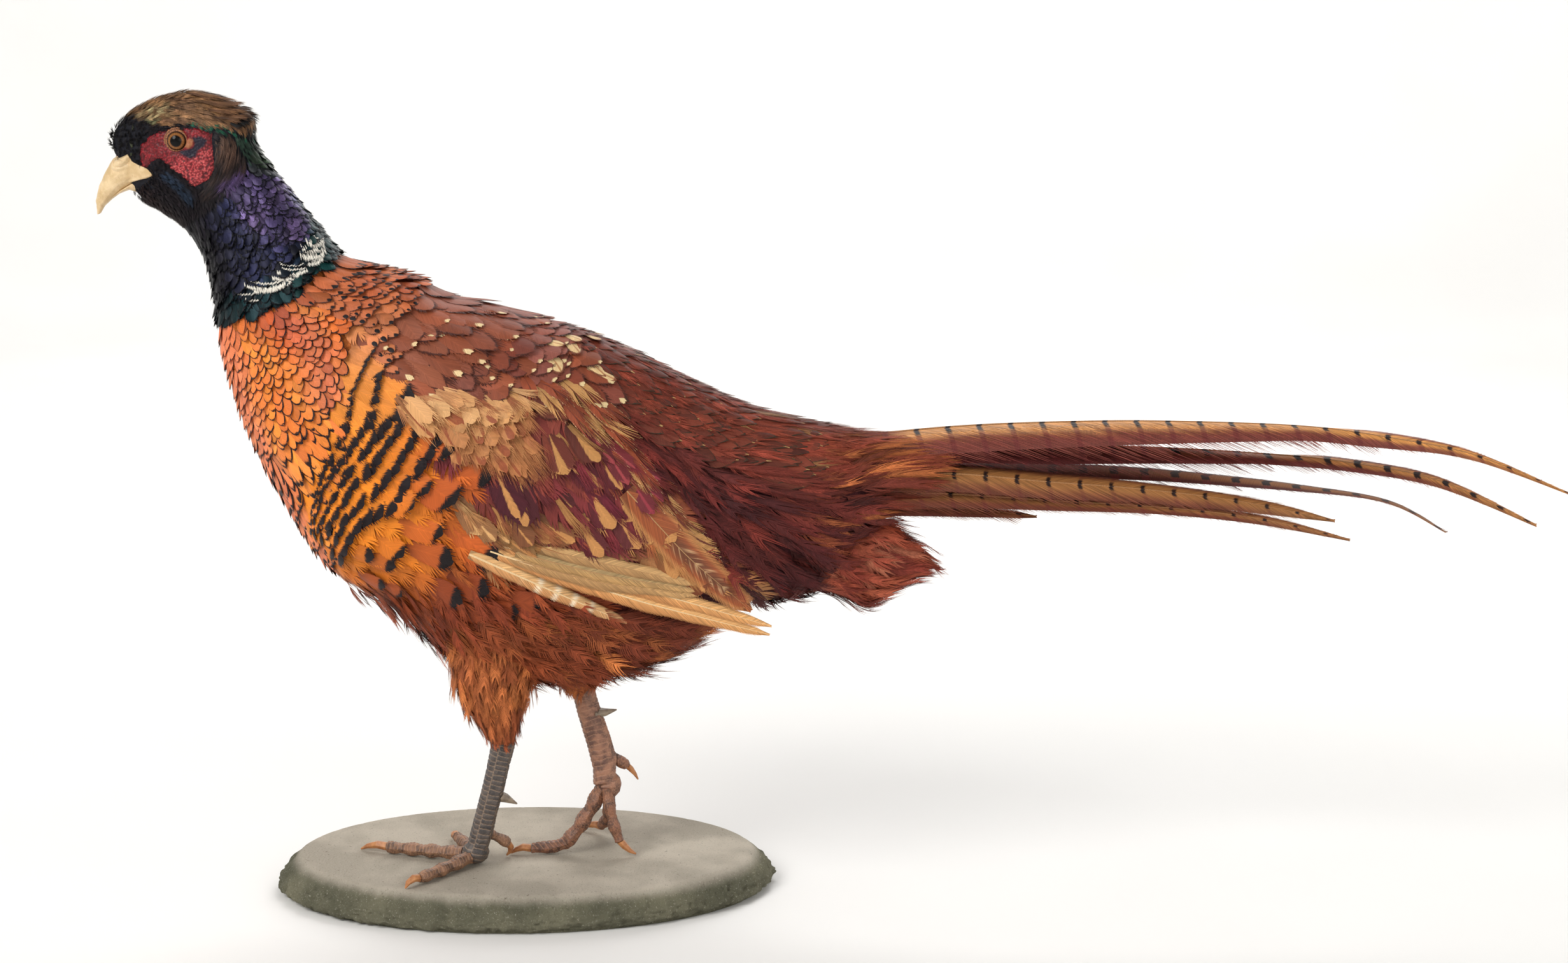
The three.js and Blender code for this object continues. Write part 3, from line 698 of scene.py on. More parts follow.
def feather_material(name, roughness=0.55, contrast=0.5, root=0.62, **sockets):
    """Reads each feather's own colours and pattern: rim, tip band, tip spot, shaft streak and barbs, and its
    root darkened, partly the down's own colour and partly painted shade under the overlapping feather.
    """
    g = Graph(name, **sockets)
    x, y, ident = g.split(g.attr("fea"))
    edge, band, spot = g.split(g.attr("pat"))
    streak = g.attr("streak", "Fac")
    grain = g.add(g.attr("grain", "Fac"), g.mul(ident, 97.0))
    barbs = g.strand_noise(grain, 1.7, 3.0)
    locks = g.strand_noise(grain, 0.32, 1.0)
    both = g.add(g.mul(barbs, 0.68), g.mul(locks, 0.32))
    fuzz = g.mul(g.sub(both, 0.5), 0.3)
    wide = g.math("ABSOLUTE", x)
    late = g.math("MAXIMUM", g.math("DIVIDE", g.sub(y, 0.35), 0.65), 0.0)
    cubes = g.add(g.math("POWER", wide, 3.0), g.math("POWER", late, 3.0))
    rim = g.add(g.math("POWER", cubes, 0.333), fuzz)
    rim_mask = g.mul(g.step(g.add(rim, edge), 0.97, 1.05), g.step(edge, 0.0, 0.01))
    reach = g.mul(band, g.sub(1.0, g.mul(wide, 0.2)))
    tip = g.add(g.add(y, reach), fuzz)
    tip_mask = g.mul(g.step(tip, 0.97, 1.03), g.step(band, 0.0, 0.01))
    wedge = g.mul(spot, g.sub(1.0, g.mul(wide, 1.25)))
    wedge = g.add(wedge, g.mul(fuzz, 0.35))
    wedge_mask = g.step(g.add(g.sub(y, 1.0), wedge), 0.0, 0.05)
    wedge_mask = g.mul(wedge_mask, g.step(spot, 0.0, 0.01))
    size = g.math("MAXIMUM", g.mul(spot, -1.0), 0.001)
    across = g.math("POWER", g.math("DIVIDE", wide, g.mul(size, 1.9)), 2.0)
    along = g.math("POWER", g.math("DIVIDE", g.sub(y, 0.9), size), 2.0)
    oval = g.sub(g.add(1.0, g.mul(fuzz, 2.0)), g.add(across, along))
    oval_mask = g.mul(g.step(oval, 0.0, 0.2), g.step(spot, 0.0, -0.01))
    flare = g.mul(streak, g.add(0.06, g.mul(g.math("POWER", y, 1.6), 0.94)))
    streak_mask = g.step(g.add(g.sub(flare, wide), g.mul(fuzz, 0.8)), -0.05, 0.05)
    streak_mask = g.mul(streak_mask, g.step(streak, 0.0, 0.01))
    spot_color = g.attr("spot")
    color = g.blend(streak_mask, g.attr("tint"), spot_color)
    color = g.blend(g.math("MAXIMUM", rim_mask, tip_mask), color, g.attr("mark"))
    color = g.blend(g.math("MAXIMUM", wedge_mask, oval_mask), color, spot_color)
    light = g.step(both, 0.3, 0.7, 1 - contrast * 0.5, 1 + contrast * 0.5)
    # darker towards the root: the down's own colour and painted shade under the feather above
    light = g.mul(light, g.step(y, 0.0, 0.5, root, 1.0))
    shaft = g.mul(g.step(wide, 0.09, 0.03), g.step(y, 0.98, 0.8))
    light = g.add(light, g.mul(shaft, 0.1))
    g.color(g.scaled(color, light))
    g.rough(g.step(barbs, 0.2, 0.8, roughness - 0.08, roughness + 0.1))
    g.bump(barbs, 0.35, 0.0003)
    return g.material


BAR_SPACING = 17.6  # between two dark bars of a tail feather


def quill_material(name, roughness=0.45, contrast=0.18, **sockets):
    """Reads a long feather's colours, and crosses it with bars: `streak` is the distance along it."""
    g = Graph(name, Roughness=roughness, **sockets)
    x, _, ident = g.split(g.attr("fea"))
    size, reach, smear = g.split(g.attr("pat"))
    wide = g.math("ABSOLUTE", x)
    grain = g.add(g.attr("grain", "Fac"), g.mul(ident, 97.0))
    barbs = g.strand_noise(grain, 1.7, 3.0)
    fuzz = g.mul(g.sub(barbs, 0.5), 0.14)
    arc = g.add(g.attr("streak", "Fac"), g.mul(wide, -4.0))
    phase = g.math("FRACT", g.math("DIVIDE", arc, BAR_SPACING))
    apart = g.add(g.math("ABSOLUTE", g.sub(phase, 0.5)), g.mul(fuzz, 0.4))
    edge = g.sub(0.5, size)
    bar = g.node("MapRange", {"Value": apart, "From Min": edge, "From Max": g.add(edge, 0.03)})
    bar = g.mul(bar, g.step(size, 0.0, 0.01))
    inner = g.node("MapRange", {"Value": g.add(wide, fuzz), "From Min": reach,
                                "From Max": g.sub(reach, 0.08)})
    outer = g.mul(g.sub(1.0, inner), smear)
    color = g.blend(g.mul(bar, outer), g.attr("tint"), g.attr("spot"))
    color = g.blend(g.mul(bar, inner), color, g.attr("mark"))
    light = g.step(barbs, 0.3, 0.7, 1 - contrast, 1 + contrast)
    g.color(g.scaled(color, light))
    g.bump(barbs, 0.35, 0.0003)
    return g.material


COAT_LOOK = {
    "body_feathers": feather_material("body_feather", 0.52, 0.3, Specular_IOR_Level=0.22),
    "head_feathers": feather_material("head_feather", 0.5, 0.6, 0.45, Specular_IOR_Level=0.18),
    "neck_feathers": feather_material("neck_feather", 0.4, 0.6, 0.3, Metallic=0.5, Specular_IOR_Level=0.25),
    "neck_down": feather_material("collar_feather", 0.55, 0.4, 0.5, Specular_IOR_Level=0.3),
    "wing_feathers": feather_material("wing_feather", 0.5, 0.32, 0.6, Specular_IOR_Level=0.25),
    "wing_down": feather_material("panel_feather", 0.5, 0.3, 0.8, Specular_IOR_Level=0.25),
    "down_feathers": feather_material("down_feather", 0.6, 0.6, 0.35, Specular_IOR_Level=0.2),
    "flight_feathers": quill_material("flight_feather", 0.5, 0.06, Specular_IOR_Level=0.25),
    "tail_feathers": quill_material("tail_feather", 0.48, 0.16, Specular_IOR_Level=0.3),
}


# ---------------------------------------------------------------- regions, as places in the picture


def above(q, line):
    """`line` runs across the picture."""
    line = np.array(sorted(line), float)
    return q[..., 1] < np.interp(q[..., 0], line[:, 0], line[:, 1])


def right_of(q, line):
    """`line` runs down the picture."""
    line = np.array(sorted(line, key=lambda place: place[1]), float)
    return q[..., 0] > np.interp(q[..., 1], line[:, 1], line[:, 0])


# Closed outlines, and lines between the parts of the bird, in pixels of the picture.
WATTLE = [
    (217, 227), (231, 214), (248, 205), (262, 202), (279, 200), (293, 197), (307, 197), (324, 203),
    (335, 207), (334, 220), (338, 248), (338, 265), (331, 282), (320, 288), (307, 295), (296, 293),
    (288, 282), (279, 276), (269, 269), (257, 257), (248, 251), (238, 258), (233, 265), (219, 264),
    (216, 248),
]
CROWN_EDGE = [
    (150, 196), (203, 183), (220, 190), (238, 198), (262, 195), (293, 190), (320, 194), (341, 194),
    (369, 200), (386, 200), (396, 193), (402, 186), (403, 100),
]
GREEN_EDGE = [(280, 190), (313, 201), (341, 206), (362, 211), (385, 214), (420, 225)]
FOREHEAD = [
    (160, 216), (178, 204), (190, 195), (202, 196), (214, 204), (226, 212), (217, 224), (210, 240),
    (200, 240), (190, 236), (170, 243),
]
BILL_SIDE = [
    (190, 236), (194, 236), (180, 252), (158, 298), (150, 326), (160, 340), (170, 331), (183, 318),
    (208, 301), (226, 286), (238, 271), (226, 264), (212, 262), (206, 252),
]
HEAD_LINE = [
    (404, 150), (402, 205), (392, 243), (391, 264), (372, 288), (345, 312), (310, 335), (285, 352),
    (255, 420),
]
CREST_SHADE = [(362, 200), (386, 196), (408, 188), (412, 212), (396, 216), (372, 210)]
EARS = [
    (338, 210), (362, 208), (386, 243), (391, 264), (362, 274), (348, 295), (330, 300), (320, 290),
    (338, 265),
]
VIOLET = [
    (352, 275), (386, 258), (410, 268), (431, 266), (460, 305), (478, 343), (468, 362), (437, 368),
    (410, 362), (384, 340), (360, 312),
]
NAPE = [(355, 205), (425, 205), (460, 270), (435, 270), (410, 268), (386, 255), (370, 225)]
COLLAR_LINE = [(506, 386), (498, 402), (482, 414), (462, 430), (441, 443), (415, 455), (389, 468), (366, 474)]
NECK_LINE = [
    (560, 330), (530, 385), (510, 410), (482, 437), (440, 463), (420, 475), (396, 486), (369, 493),
    (343, 501), (300, 512),
]
BREAST_LINE = [
    (545, 440), (528, 540), (525, 640), (515, 720), (500, 800), (505, 880), (540, 930), (560, 1100),
]
MANTLE_LINE = [(440, 455), (500, 478), (560, 505), (590, 560), (625, 640)]
FLANK_END = [
    (590, 480), (625, 560), (640, 620), (690, 700), (770, 800), (800, 860), (900, 930), (1000, 1000),
]
WING_FRONT = [(632, 600), (646, 632), (665, 670), (705, 725), (738, 790), (742, 850), (735, 880)]
WING_TOP = [(600, 590), (640, 622), (712, 606), (760, 632), (856, 636), (880, 606), (905, 600), (1300, 625)]
WING_REAR = [(740, 470), (870, 575), (905, 620), (1010, 740), (1080, 826), (1180, 934), (1215, 990)]
WING_LOW = [(735, 866), (800, 878), (900, 880), (965, 866), (1020, 890), (1090, 925), (1180, 955)]
BELLY_LINE = [
    (420, 840), (500, 900), (560, 945), (640, 985), (700, 975), (800, 950), (900, 950), (1250, 1010),
]


def in_wing(q):
    """The folded wing's coverts, from its bend to its rear edge."""
    return right_of(q, WING_FRONT) & ~above(q, WING_TOP) & ~right_of(q, WING_REAR) & above(q, WING_LOW)


def tract(coat, templates, s_range, row_mm, col_mm, a_ref, where, look, jitter=0.18, skew=0.0, last=np.inf):
    """Fills a region of both sides with feathers. `look` gives each root's colours and measures."""
    for mirror in (False, True):
        s, a, q = lattice(torso, s_range, row_mm, col_mm, a_ref, where, jitter, ONE_SIDE, skew, last)
        if len(s):
            scatter(coat, templates, torso, s, a, mirror=mirror, **look(q))


class Finder:
    """Finds where a place of the picture falls on the near side of a surface."""

    def __init__(self, surf):
        self.surf = surf
        s = np.arange(0, surf.rows - 1, 0.34)
        a = np.arange(0, surf.cols / 2, 0.5)
        self.s, self.a = (v.ravel() for v in np.meshgrid(s, a, indexing="ij"))
        p = surf.at(self.s, self.a)
        near = ((EYE_POINT - p) * surf.at(self.s, self.a, surf.n)).sum(-1) > 0
        self.s, self.a = self.s[near], self.a[near]
        q = seen_at(p[near])
        self.tree = KDTree(len(q))
        for k, (x, y) in enumerate(q):
            self.tree.insert((x, y, 0), k)
        self.tree.balance()

    def root(self, places):
        k = [self.tree.find((x, y, 0))[1] for x, y in places]
        return self.s[k], self.a[k]

    def laid(self, tips, heading, length):
        """Roots and turns of feathers whose tips and headings are given in the picture, lengths in mm."""
        tips, heading = np.asarray(tips, float), unit(np.asarray(heading, float))
        start = tips - heading * (np.asarray(length, float) / PIXEL_MM)[:, None]
        s, a = self.root(start)
        s2, a2 = self.root(start + heading * 12.0)
        ms, ma = self.surf.at(s, a, self.surf.ms), self.surf.at(s, a, self.surf.ma)
        return s, a, np.arctan2((a2 - a) * ma, (s2 - s) * ms)


finder = Finder(torso)


def turn_towards(q, degrees):
    """Turns of feathers rooted at those places that head so many degrees below the picture's right."""
    heading = np.stack([np.cos(np.radians(degrees)), np.sin(np.radians(degrees))], -1)
    s, a = finder.root(q - heading * 6)
    s2, a2 = finder.root(q + heading * 22)
    return np.arctan2((a2 - a) * torso.at(s, a, torso.ma), (s2 - s) * torso.at(s, a, torso.ms))


def hand_laid(coat, templates, tips, heading, *, length, over=finder, turn=0.0, **look):
    """Feathers with their tips at places of the picture, the same on the far side."""
    tips = np.asarray(tips, float)
    heading = np.broadcast_to(np.asarray(heading, float), tips.shape)
    length = np.broadcast_to(np.asarray(length, float), len(tips))
    s, a, own_turn = over.laid(tips, heading, length)
    for mirror in (False, True):
        scatter(coat, templates, over.surf, s, a, mirror=mirror, turn=own_turn + turn, length=length, **look)


def spread_along(line, gap, wander=0.0):
    """Places at equal gaps along a line of the picture."""
    line = np.asarray(line, float)
    run = run_along(line)
    at = np.arange(0.5 * gap, run[-1] + 0.01, gap)
    at = at + rng.normal(0, wander, len(at))
    return np.stack([np.interp(at, run, line[:, k]) for k in range(2)], -1)


# ---------------------------------------------------------------- feather shapes

ROUND = [vane(7, 6, "round", 0.03, k) for k in range(5)]
SMALL = [fringed("round", 120 + k, 7, 0.06, 0.045) for k in range(5)]
BROAD = [fringed("broad", k) for k in range(5)]
COMBED = [combed(15, "broad", k, 0.044) for k in range(6)]
BRUSH = [wisp(15, 0.9, 0.055, 90 + k, 0.12, 0.12) for k in range(6)]
SILKY = [combed(19, "blunt", 70 + k, 0.034, 0.04, 0.05) for k in range(6)]
BLUNT = [fringed("blunt", 80 + k, 16, 0.12, 0.034) for k in range(5)]
SOFT = [fringed("round", 30 + k, reach=0.07) for k in range(4)]
LANCE = [vane(7, 4, "lance", 0.06, k) for k in range(4)]
NECK_SCALES = [fringed("round", 50 + k, 6, 0.15, 0.065) for k in range(4)]
FINE_WISPS = [wisp(5, 0.7, 0.12, k, 0.25, 0.1) for k in range(5)]
PLUMES = [plume(13, 0.5, 0.024, k, 0.42) for k in range(6)]
STRANDS = [plume(13, 0.4, 0.019, 60 + k, 0.44, 0.5, 0.12) for k in range(6)]
SOFT_PLUMES = [plume(13, 0.75, 0.022, 20 + k, 0.5, 0.5) for k in range(6)]
FRINGES = [plume(12, 0.42, 0.024, 40 + k, 0.36, 0.2, 0.3) for k in range(5)]

coats = {}


def coat(name, look):
    coats[name] = (Coat(name), look)
    return coats[name][0]


# ---------------------------------------------------------------- neck, breast, flank and back


def neck_color(q):
    color = plain((28, 30, 58), len(q))
    front = ramp(-q[:, 0] + np.interp(q[:, 1], [300, 380, 480], [300, 345, 368]), -26, 30)
    color = vary(color, (20, 15, 18), front * 0.95)
    nape = ramp(q[:, 0] - np.interp(q[:, 1], [205, 260, 330, 400, 460], [372, 428, 470, 470, 430]), -14, 14)
    color = vary(color, (16, 66, 54), nape * 0.8)
    olive = inside(q, NAPE)
    color[olive] = (40, 54, 38)
    band = ramp(gap_to(q, COLLAR_LINE), 44, 10)
    color = vary(color, (10, 52, 50), band * 0.8)
    violet = ramp(edge_gap(q, VIOLET), 16, 0)
    violet = np.where(inside(q, VIOLET), 1.0, violet * 0.5)
    color = vary(color, (116, 94, 142), violet * (0.5 + 0.5 * ripple(q, 22, 3)))
    return vary(color, (14, 14, 22), 0.5 * ripple(q, 14, 4))


def on_neck(q):
    return above(q + (4, 13), NECK_LINE) & right_of(q, HEAD_LINE)


def neck_look(q):
    n = len(q)
    size = np.interp(q[:, 1], [200, 300, 480], [4.0, 5.4, 7.4]) * rng.uniform(0.8, 1.2, n)
    return {
        "length": size * 1.35, "width": size * 0.56, "lift": (-0.6, 0.6), "arch": 0.2, "tint": neck_color(q),
        "mark": (8, 8, 14), "pat": (0.08, 0, 0), "shade": 0.3, "wild": 0.8,
        "turn": rng.normal(0, 0.16, n),
    }


neck = coat("neck_plumage", "neck_feathers")
tract(neck, NECK_SCALES, (36, 110), 2.3, 3.0, 0.25, on_neck, neck_look, 0.3)


# White bars of the collar: both ends of each line of tips, its sag in the picture and its thickness in mm.
COLLAR_BARS = [
    ((493, 375), (507, 379), 1, 1.2), ((484, 390), (509, 388), 3, 5.0), ((478, 400), (511, 396), 4, 5.0),
    ((477, 411), (512, 404), 6, 5.0), ((484, 420), (508, 413), 4, 3.6), ((441, 416), (479, 416), 4, 1.0),
    ((444, 423), (480, 423), 4, 1.2), ((438, 432), (484, 429), 6, 2.6), ((430, 441), (470, 437), 5, 2.6),
    ((396, 443), (443, 443), 6, 1.4), ((389, 453), (450, 449), 8, 2.6), ((402, 462), (458, 447), 6, 2.8),
    ((376, 463), (400, 464), 2, 1.3), ((388, 472), (408, 473), 2, 1.3),
]


def collar_rows():
    for start, end, sag, thick in COLLAR_BARS:
        start, end = np.array(start, float), np.array(end, float)
        f = np.linspace(0, 1, int(np.linalg.norm(end - start) / 1.1))
        tips = start + np.outer(f, end - start) + np.outer(4 * f * (1 - f) * sag, (0.3, 0.95))
        n = len(f)
        hand_laid(collar, FINE_WISPS, tips, (0.35, 0.94), length=thick * rng.uniform(0.8, 1.2, n), width=0.55,
                  lift=(0.9, 1.5), arch=0.0, tint=(240, 234, 222), shade=0.08, wild=0.3,
                  turn=rng.normal(0, 0.08, n))


collar = coat("collar_plumage", "neck_down")
collar_rows()


def on_breast(q):
    return ~above(q, NECK_LINE) & ~right_of(q, BREAST_LINE) & ~above(q, MANTLE_LINE) & above(q, BELLY_LINE)


def breast_look(q):
    n = len(q)
    down = ramp(q[:, 1], 480, 820)
    fresh = ramp(q[:, 1] - np.interp(q[:, 0], [340, 430, 520], [500, 470, 440]), 0, 70)
    tint = vary((214, 92, 34), (230, 126, 48), ramp(q[:, 1], 490, 580))
    gold = ripple(q, 46, 5)
    tint = vary(tint, (242, 160, 66), 0.8 * gold)
    tint = vary(tint, (206, 98, 58), 0.5 * ripple(q, 12, 51))
    front = ramp(q[:, 0] - np.interp(q[:, 1], [500, 650, 800, 930], [343, 385, 450, 540]), 34, 2)
    tint = vary(tint, (222, 124, 96), front * 0.7)
    pink = ramp(gap_to(q, [(455, 500), (492, 545), (498, 600)]), 46, 8)
    tint = vary(tint, (192, 100, 82), pink * 0.6)
    dusk = ramp(gap_to(q, [(400, 490), (450, 470), (480, 455)]), 40, 6) * ripple(q, 9, 52)
    tint = vary(tint, (150, 74, 58), dusk * 0.7)
    size = (1 + 0.35 * down) * rng.uniform(0.92, 1.08, n)
    edge = (0.04 + 0.07 * fresh + 0.05 * down) * rng.uniform(0.35, 1.25, n)
    band = (0.03 * fresh + 0.11 * down) * rng.uniform(0.3, 1.5, n)
    return {
        "length": 11.5 * size, "width": 3.4 * size, "lift": (-1.6, 0.9), "arch": 0.24, "tint": tint,
        "mark": (26, 14, 18), "pat": (edge, band, 0), "shade": 0.13,
        "turn": rng.normal(0, 0.09, n), "wild": 0.5,
    }


breast = coat("breast_plumage", "body_feathers")
tract(breast, ROUND, (76, 150), lambda s: 4.2 + 0.02 * (s - 80), 4.9, 0.3, on_breast, breast_look, 0.14, 16)


# Dark bars of the flank: the lines of feather tips from the wing's bend down to the breast.
FLANK_BARS = [
    [(590, 550), (566, 590), (552, 630), (540, 660), (520, 700), (505, 740), (498, 790), (494, 830)],
    [(613, 568), (590, 605), (576, 645), (556, 680), (535, 712), (515, 752), (503, 795), (498, 850)],
    [(633, 600), (608, 645), (584, 685), (560, 722), (538, 765), (520, 800), (508, 835), (503, 872)],
    [(642, 640), (622, 672), (604, 705), (584, 742), (558, 768), (538, 800), (524, 835), (516, 880)],
    [(656, 676), (642, 705), (626, 738), (600, 775), (574, 795), (552, 820), (540, 852), (530, 893)],
    [(700, 690), (682, 725), (648, 765), (632, 800), (598, 815), (568, 842), (556, 872), (550, 905)],
]
REAR_BARS = [  # place of the tip, its heading, length and half width in mm, and the bar's share of the length
    ((716, 706), (0.95, 0.3), 26, 8.5, 0.22), ((690, 762), (0.93, 0.36), 24, 7.5, 0.2),
    ((738, 788), (0.9, 0.42), 32, 11.5, 0.2), ((770, 772), (0.93, 0.36), 26, 9, 0.24),
    ((700, 846), (0.95, 0.3), 27, 8.5, 0.16), ((645, 868), (0.9, 0.42), 24, 7.6, 0.2),
    ((784, 856), (0.95, 0.3), 30, 11, 0.2), ((708, 886), (0.93, 0.36), 26, 8, 0.24),
    ((622, 900), (0.9, 0.42), 20, 6.4, 0.26), ((770, 930), (0.95, 0.3), 26, 8, 0.22),
    ((730, 940), (0.93, 0.36), 24, 7.6, 0.24), ((606, 926), (0.9, 0.42), 18, 5.6, 0.22),
    ((636, 930), (0.9, 0.42), 16, 4.4, 0.14), ((855, 962), (0.96, 0.28), 26, 7, 0.18),
    ((812, 982), (0.9, 0.42), 22, 6.4, 0.16), ((590, 885), (0.9, 0.42), 19, 6, 0.28),
    ((660, 800), (0.93, 0.36), 26, 9.4, 0.1),
]


def on_flank(q):
    front = right_of(q, BREAST_LINE) & ~right_of(q, FLANK_END)
    return front & ~above(q, MANTLE_LINE) & above(q, BELLY_LINE) & ~in_wing(q)


def flank_tint(q):
    back = ramp(q[:, 0], 600, 740)
    tint = vary((226, 138, 56), (232, 132, 34), ramp(q[:, 1], 620, 740))
    tint = vary(tint, (186, 88, 36), back)
    tint = vary(tint, (206, 128, 76), ramp(q[:, 1], 620, 545))
    return vary(tint, (136, 60, 30), ramp(q[:, 1], 850, 940) * 0.9)


def flank_look(q):
    n = len(q)
    return {
        "length": 20, "width": 7.4, "lift": (-2.6, -0.2), "arch": 0.12, "tint": flank_tint(q), "shade": 0.12,
        "wild": 0.4, "turn": 0.1 + rng.normal(0, 0.07, n),
    }


flank = coat("flank_plumage", "body_feathers")
tract(flank, COMBED, (76, 180), 9.6, lambda s: 9.0 + 0.04 * (s - 90), 0.3, on_flank, flank_look, 0.1, 24)


def flank_rows():
    for k, line in enumerate(FLANK_BARS):
        big = k / (len(FLANK_BARS) - 1)
        tips = spread_along(line, 13 + 8 * big, 0.5)
        back = ramp(tips[:, 0], 500, 660)
        heading = np.stack([0.76 + 0.16 * back, 0.65 - 0.27 * back], -1)
        n = len(tips)
        band = (0.16 + 0.11 * big) * rng.uniform(0.9, 1.1, n)
        hand_laid(flank, BROAD, tips, heading, length=13 + 8 * big + rng.normal(0, 0.6, n),
                  width=4.4 + 4.0 * big, lift=(-2.0, 1.5 + 0.6 * big), arch=0.14, tint=flank_tint(tips),
                  mark=(24, 15, 19), pat=(0, band, 0), shade=0.1, wild=0.12, turn=rng.normal(0, 0.03, n))
    for place, heading, length, half, band in REAR_BARS:
        tint = flank_tint(np.array([place], float))
        hand_laid(flank, BROAD, [place], heading, length=length, width=half, lift=(-1.4, 2.4), arch=0.12,
                  tint=tint, mark=(22, 14, 16), pat=(0, 1.2 * band, 0), shade=0.06, wild=0.2)


flank_rows()


def flank_fringe_look(q):
    n = len(q)
    tint = vary((206, 112, 46), (128, 56, 32), ramp(q[:, 1], 810, 930) + 0.4 * (ripple(q, 24, 62) - 0.5))
    return {
        "length": 24, "width": 6.0, "lift": (-1.0, 2.2), "arch": 0.1, "tint": tint, "shade": 0.2, "wild": 1.2,
        "turn": 0.45 + rng.normal(0, 0.25, n),
    }


def on_flank_fringe(q):
    low = ramp(q[:, 1] - np.interp(q[:, 0], [480, 600, 640, 760, 900], [920, 890, 880, 880, 900]), -20, 40)
    return on_flank(q) & (rng.uniform(0, 1, len(q)) < 0.77 * low)


fringe = coat("flank_fringe", "down_feathers")
tract(fringe, FRINGES, (96, 180), 6.0, 6.4, 0.33, on_flank_fringe, flank_fringe_look, 0.3, 24)


def on_mantle(q):
    return ~above(q, NECK_LINE) & above(q, MANTLE_LINE) & ~right_of(q, [(680, 400), (610, 490), (606, 560)])


def mantle_look(q):
    n = len(q)
    tint = vary((190, 106, 62), (166, 82, 50), ripple(q, 30, 7))
    tint = vary(tint, (206, 132, 88), ramp(q[:, 1], 440, 520) * 0.5)
    spot = np.where(rng.uniform(0, 1, n) < 0.55, rng.uniform(0.14, 0.3, n), -rng.uniform(0.12, 0.24, n))
    return {
        "length": 13.0, "width": 4.2, "lift": (-1.4, 0.9), "arch": 0.2, "tint": tint, "mark": (70, 36, 28),
        "spot": (24, 17, 20), "pat": (0.03, 0, spot), "shade": 0.16, "wild": 0.5,
        "turn": rng.normal(0, 0.1, n),
    }


mantle = coat("mantle_plumage", "body_feathers")
tract(mantle, SMALL, (76, 132), 5.4, 6.2, 0.12, on_mantle, mantle_look, 0.18)

BACK_START = [(660, 400), (606, 490), (606, 552), (640, 600), (650, 640)]
BACK_END = [(720, 400), (880, 520), (960, 620), (1000, 700)]


def on_scapulars(q):
    behind = right_of(q, BACK_START) & ~right_of(q, BACK_END)
    return behind & ~above(q, NECK_LINE) & above(q, WING_TOP) & ~on_mantle(q) & ~on_flank(q)


def scapular_look(q):
    n = len(q)
    tint = vary((142, 72, 46), (110, 50, 36), ripple(q, 45, 8))
    # painted light: lighter towards the front, where the top of the back is lit
    front = ramp(q[:, 0], 760, 600)
    tint = vary(tint, (158, 92, 60), front * 0.7)
    tint = vary(tint, (136, 84, 78), 0.6 * ripple(q, 70, 63))
    pale = gap_to(q, [(840, 545), (885, 575), (950, 600)])
    near = ramp(pale, 60, 10)
    spot = np.where(rng.uniform(0, 1, n) < 0.3 + 0.5 * near, rng.uniform(0.05, 0.12, n) + 0.12 * near, 0.0)
    return {
        "length": 23, "width": 7.2, "lift": (-2.0, 0.5), "arch": 0.12, "tint": tint, "mark": (74, 38, 30),
        "spot": (214, 190, 142), "pat": (rng.uniform(0.0, 0.04, n), 0, spot), "shade": 0.12,
        "wild": 0.35, "turn": 0.15 + rng.normal(0, 0.1, n),
    }


back = coat("back_plumage", "body_feathers")
tract(back, SOFT, (84, 172), 7.6, 9.0, 0.14, on_scapulars, scapular_look, 0.2)

CREAM_TIPS = [
    (640, 585), (612, 553), (646, 552), (745, 512), (725, 540), (810, 530), (842, 548), (772, 597),
    (842, 590), (806, 612), (700, 575), (664, 606), (800, 500), (760, 560), (880, 520), (700, 510),
    (905, 548), (668, 540),
]
CREAM_FEATHERS = [
    ((905, 598), (0.7, 0.7), 24, 4.6), ((930, 570), (0.72, 0.69), 20, 4.2),
    ((958, 590), (0.78, 0.6), 20, 4.0), ((962, 602), (0.8, 0.6), 16, 3.4),
    ((926, 545), (0.85, 0.5), 15, 3.0), ((955, 540), (0.9, 0.42), 14, 2.6),
    ((890, 552), (0.85, 0.5), 14, 3.0),
]
hand_laid(back, SOFT, CREAM_TIPS, (0.85, 0.5), length=20.0, width=7.0, lift=(-1.4, 1.1), arch=0.14,
          tint=(140, 74, 50), spot=(222, 194, 146), pat=(0.0, 0.0, 0.15), shade=0.1, wild=0.2)
for place, heading, length, half in CREAM_FEATHERS:
    hand_laid(back, SOFT, [place], heading, length=length, width=half, lift=(-0.6, 1.6), arch=0.2,
              tint=(218, 186, 136), mark=(120, 70, 50), spot=(170, 122, 82), streak=0.2, pat=(0.12, 0.0, 0.0),
              shade=0.08, wild=0.2)


def wing_tint(q):
    tint = vary((112, 38, 46), (128, 58, 42), ripple(q, 34, 10))
    rear = ramp(gap_to(q, WING_REAR), 60, 10)
    tint = vary(tint, (150, 82, 48), rear * 0.8)
    low = ramp(gap_to(q, WING_LOW), 40, 8)
    return vary(tint, (176, 128, 74), low * 0.8)


def wing_look(q):
    return {
        "length": 27, "width": 7.6, "lift": (-2.4, -0.2), "arch": 0.1, "tint": wing_tint(q), "shade": 0.14,
        "wild": 0.4, "turn": 0.5 + rng.normal(0, 0.1, len(q)),
    }


wing = coat("wing_plumage", "wing_feathers")
tract(wing, COMBED, (96, 184), 9.0, 9.6, 0.2, in_wing, wing_look, 0.2)

MAROON, DEEP, BUFF, PALE, RUST = (104, 28, 44), (80, 22, 36), (186, 130, 76), (204, 156, 102), (146, 68, 38)
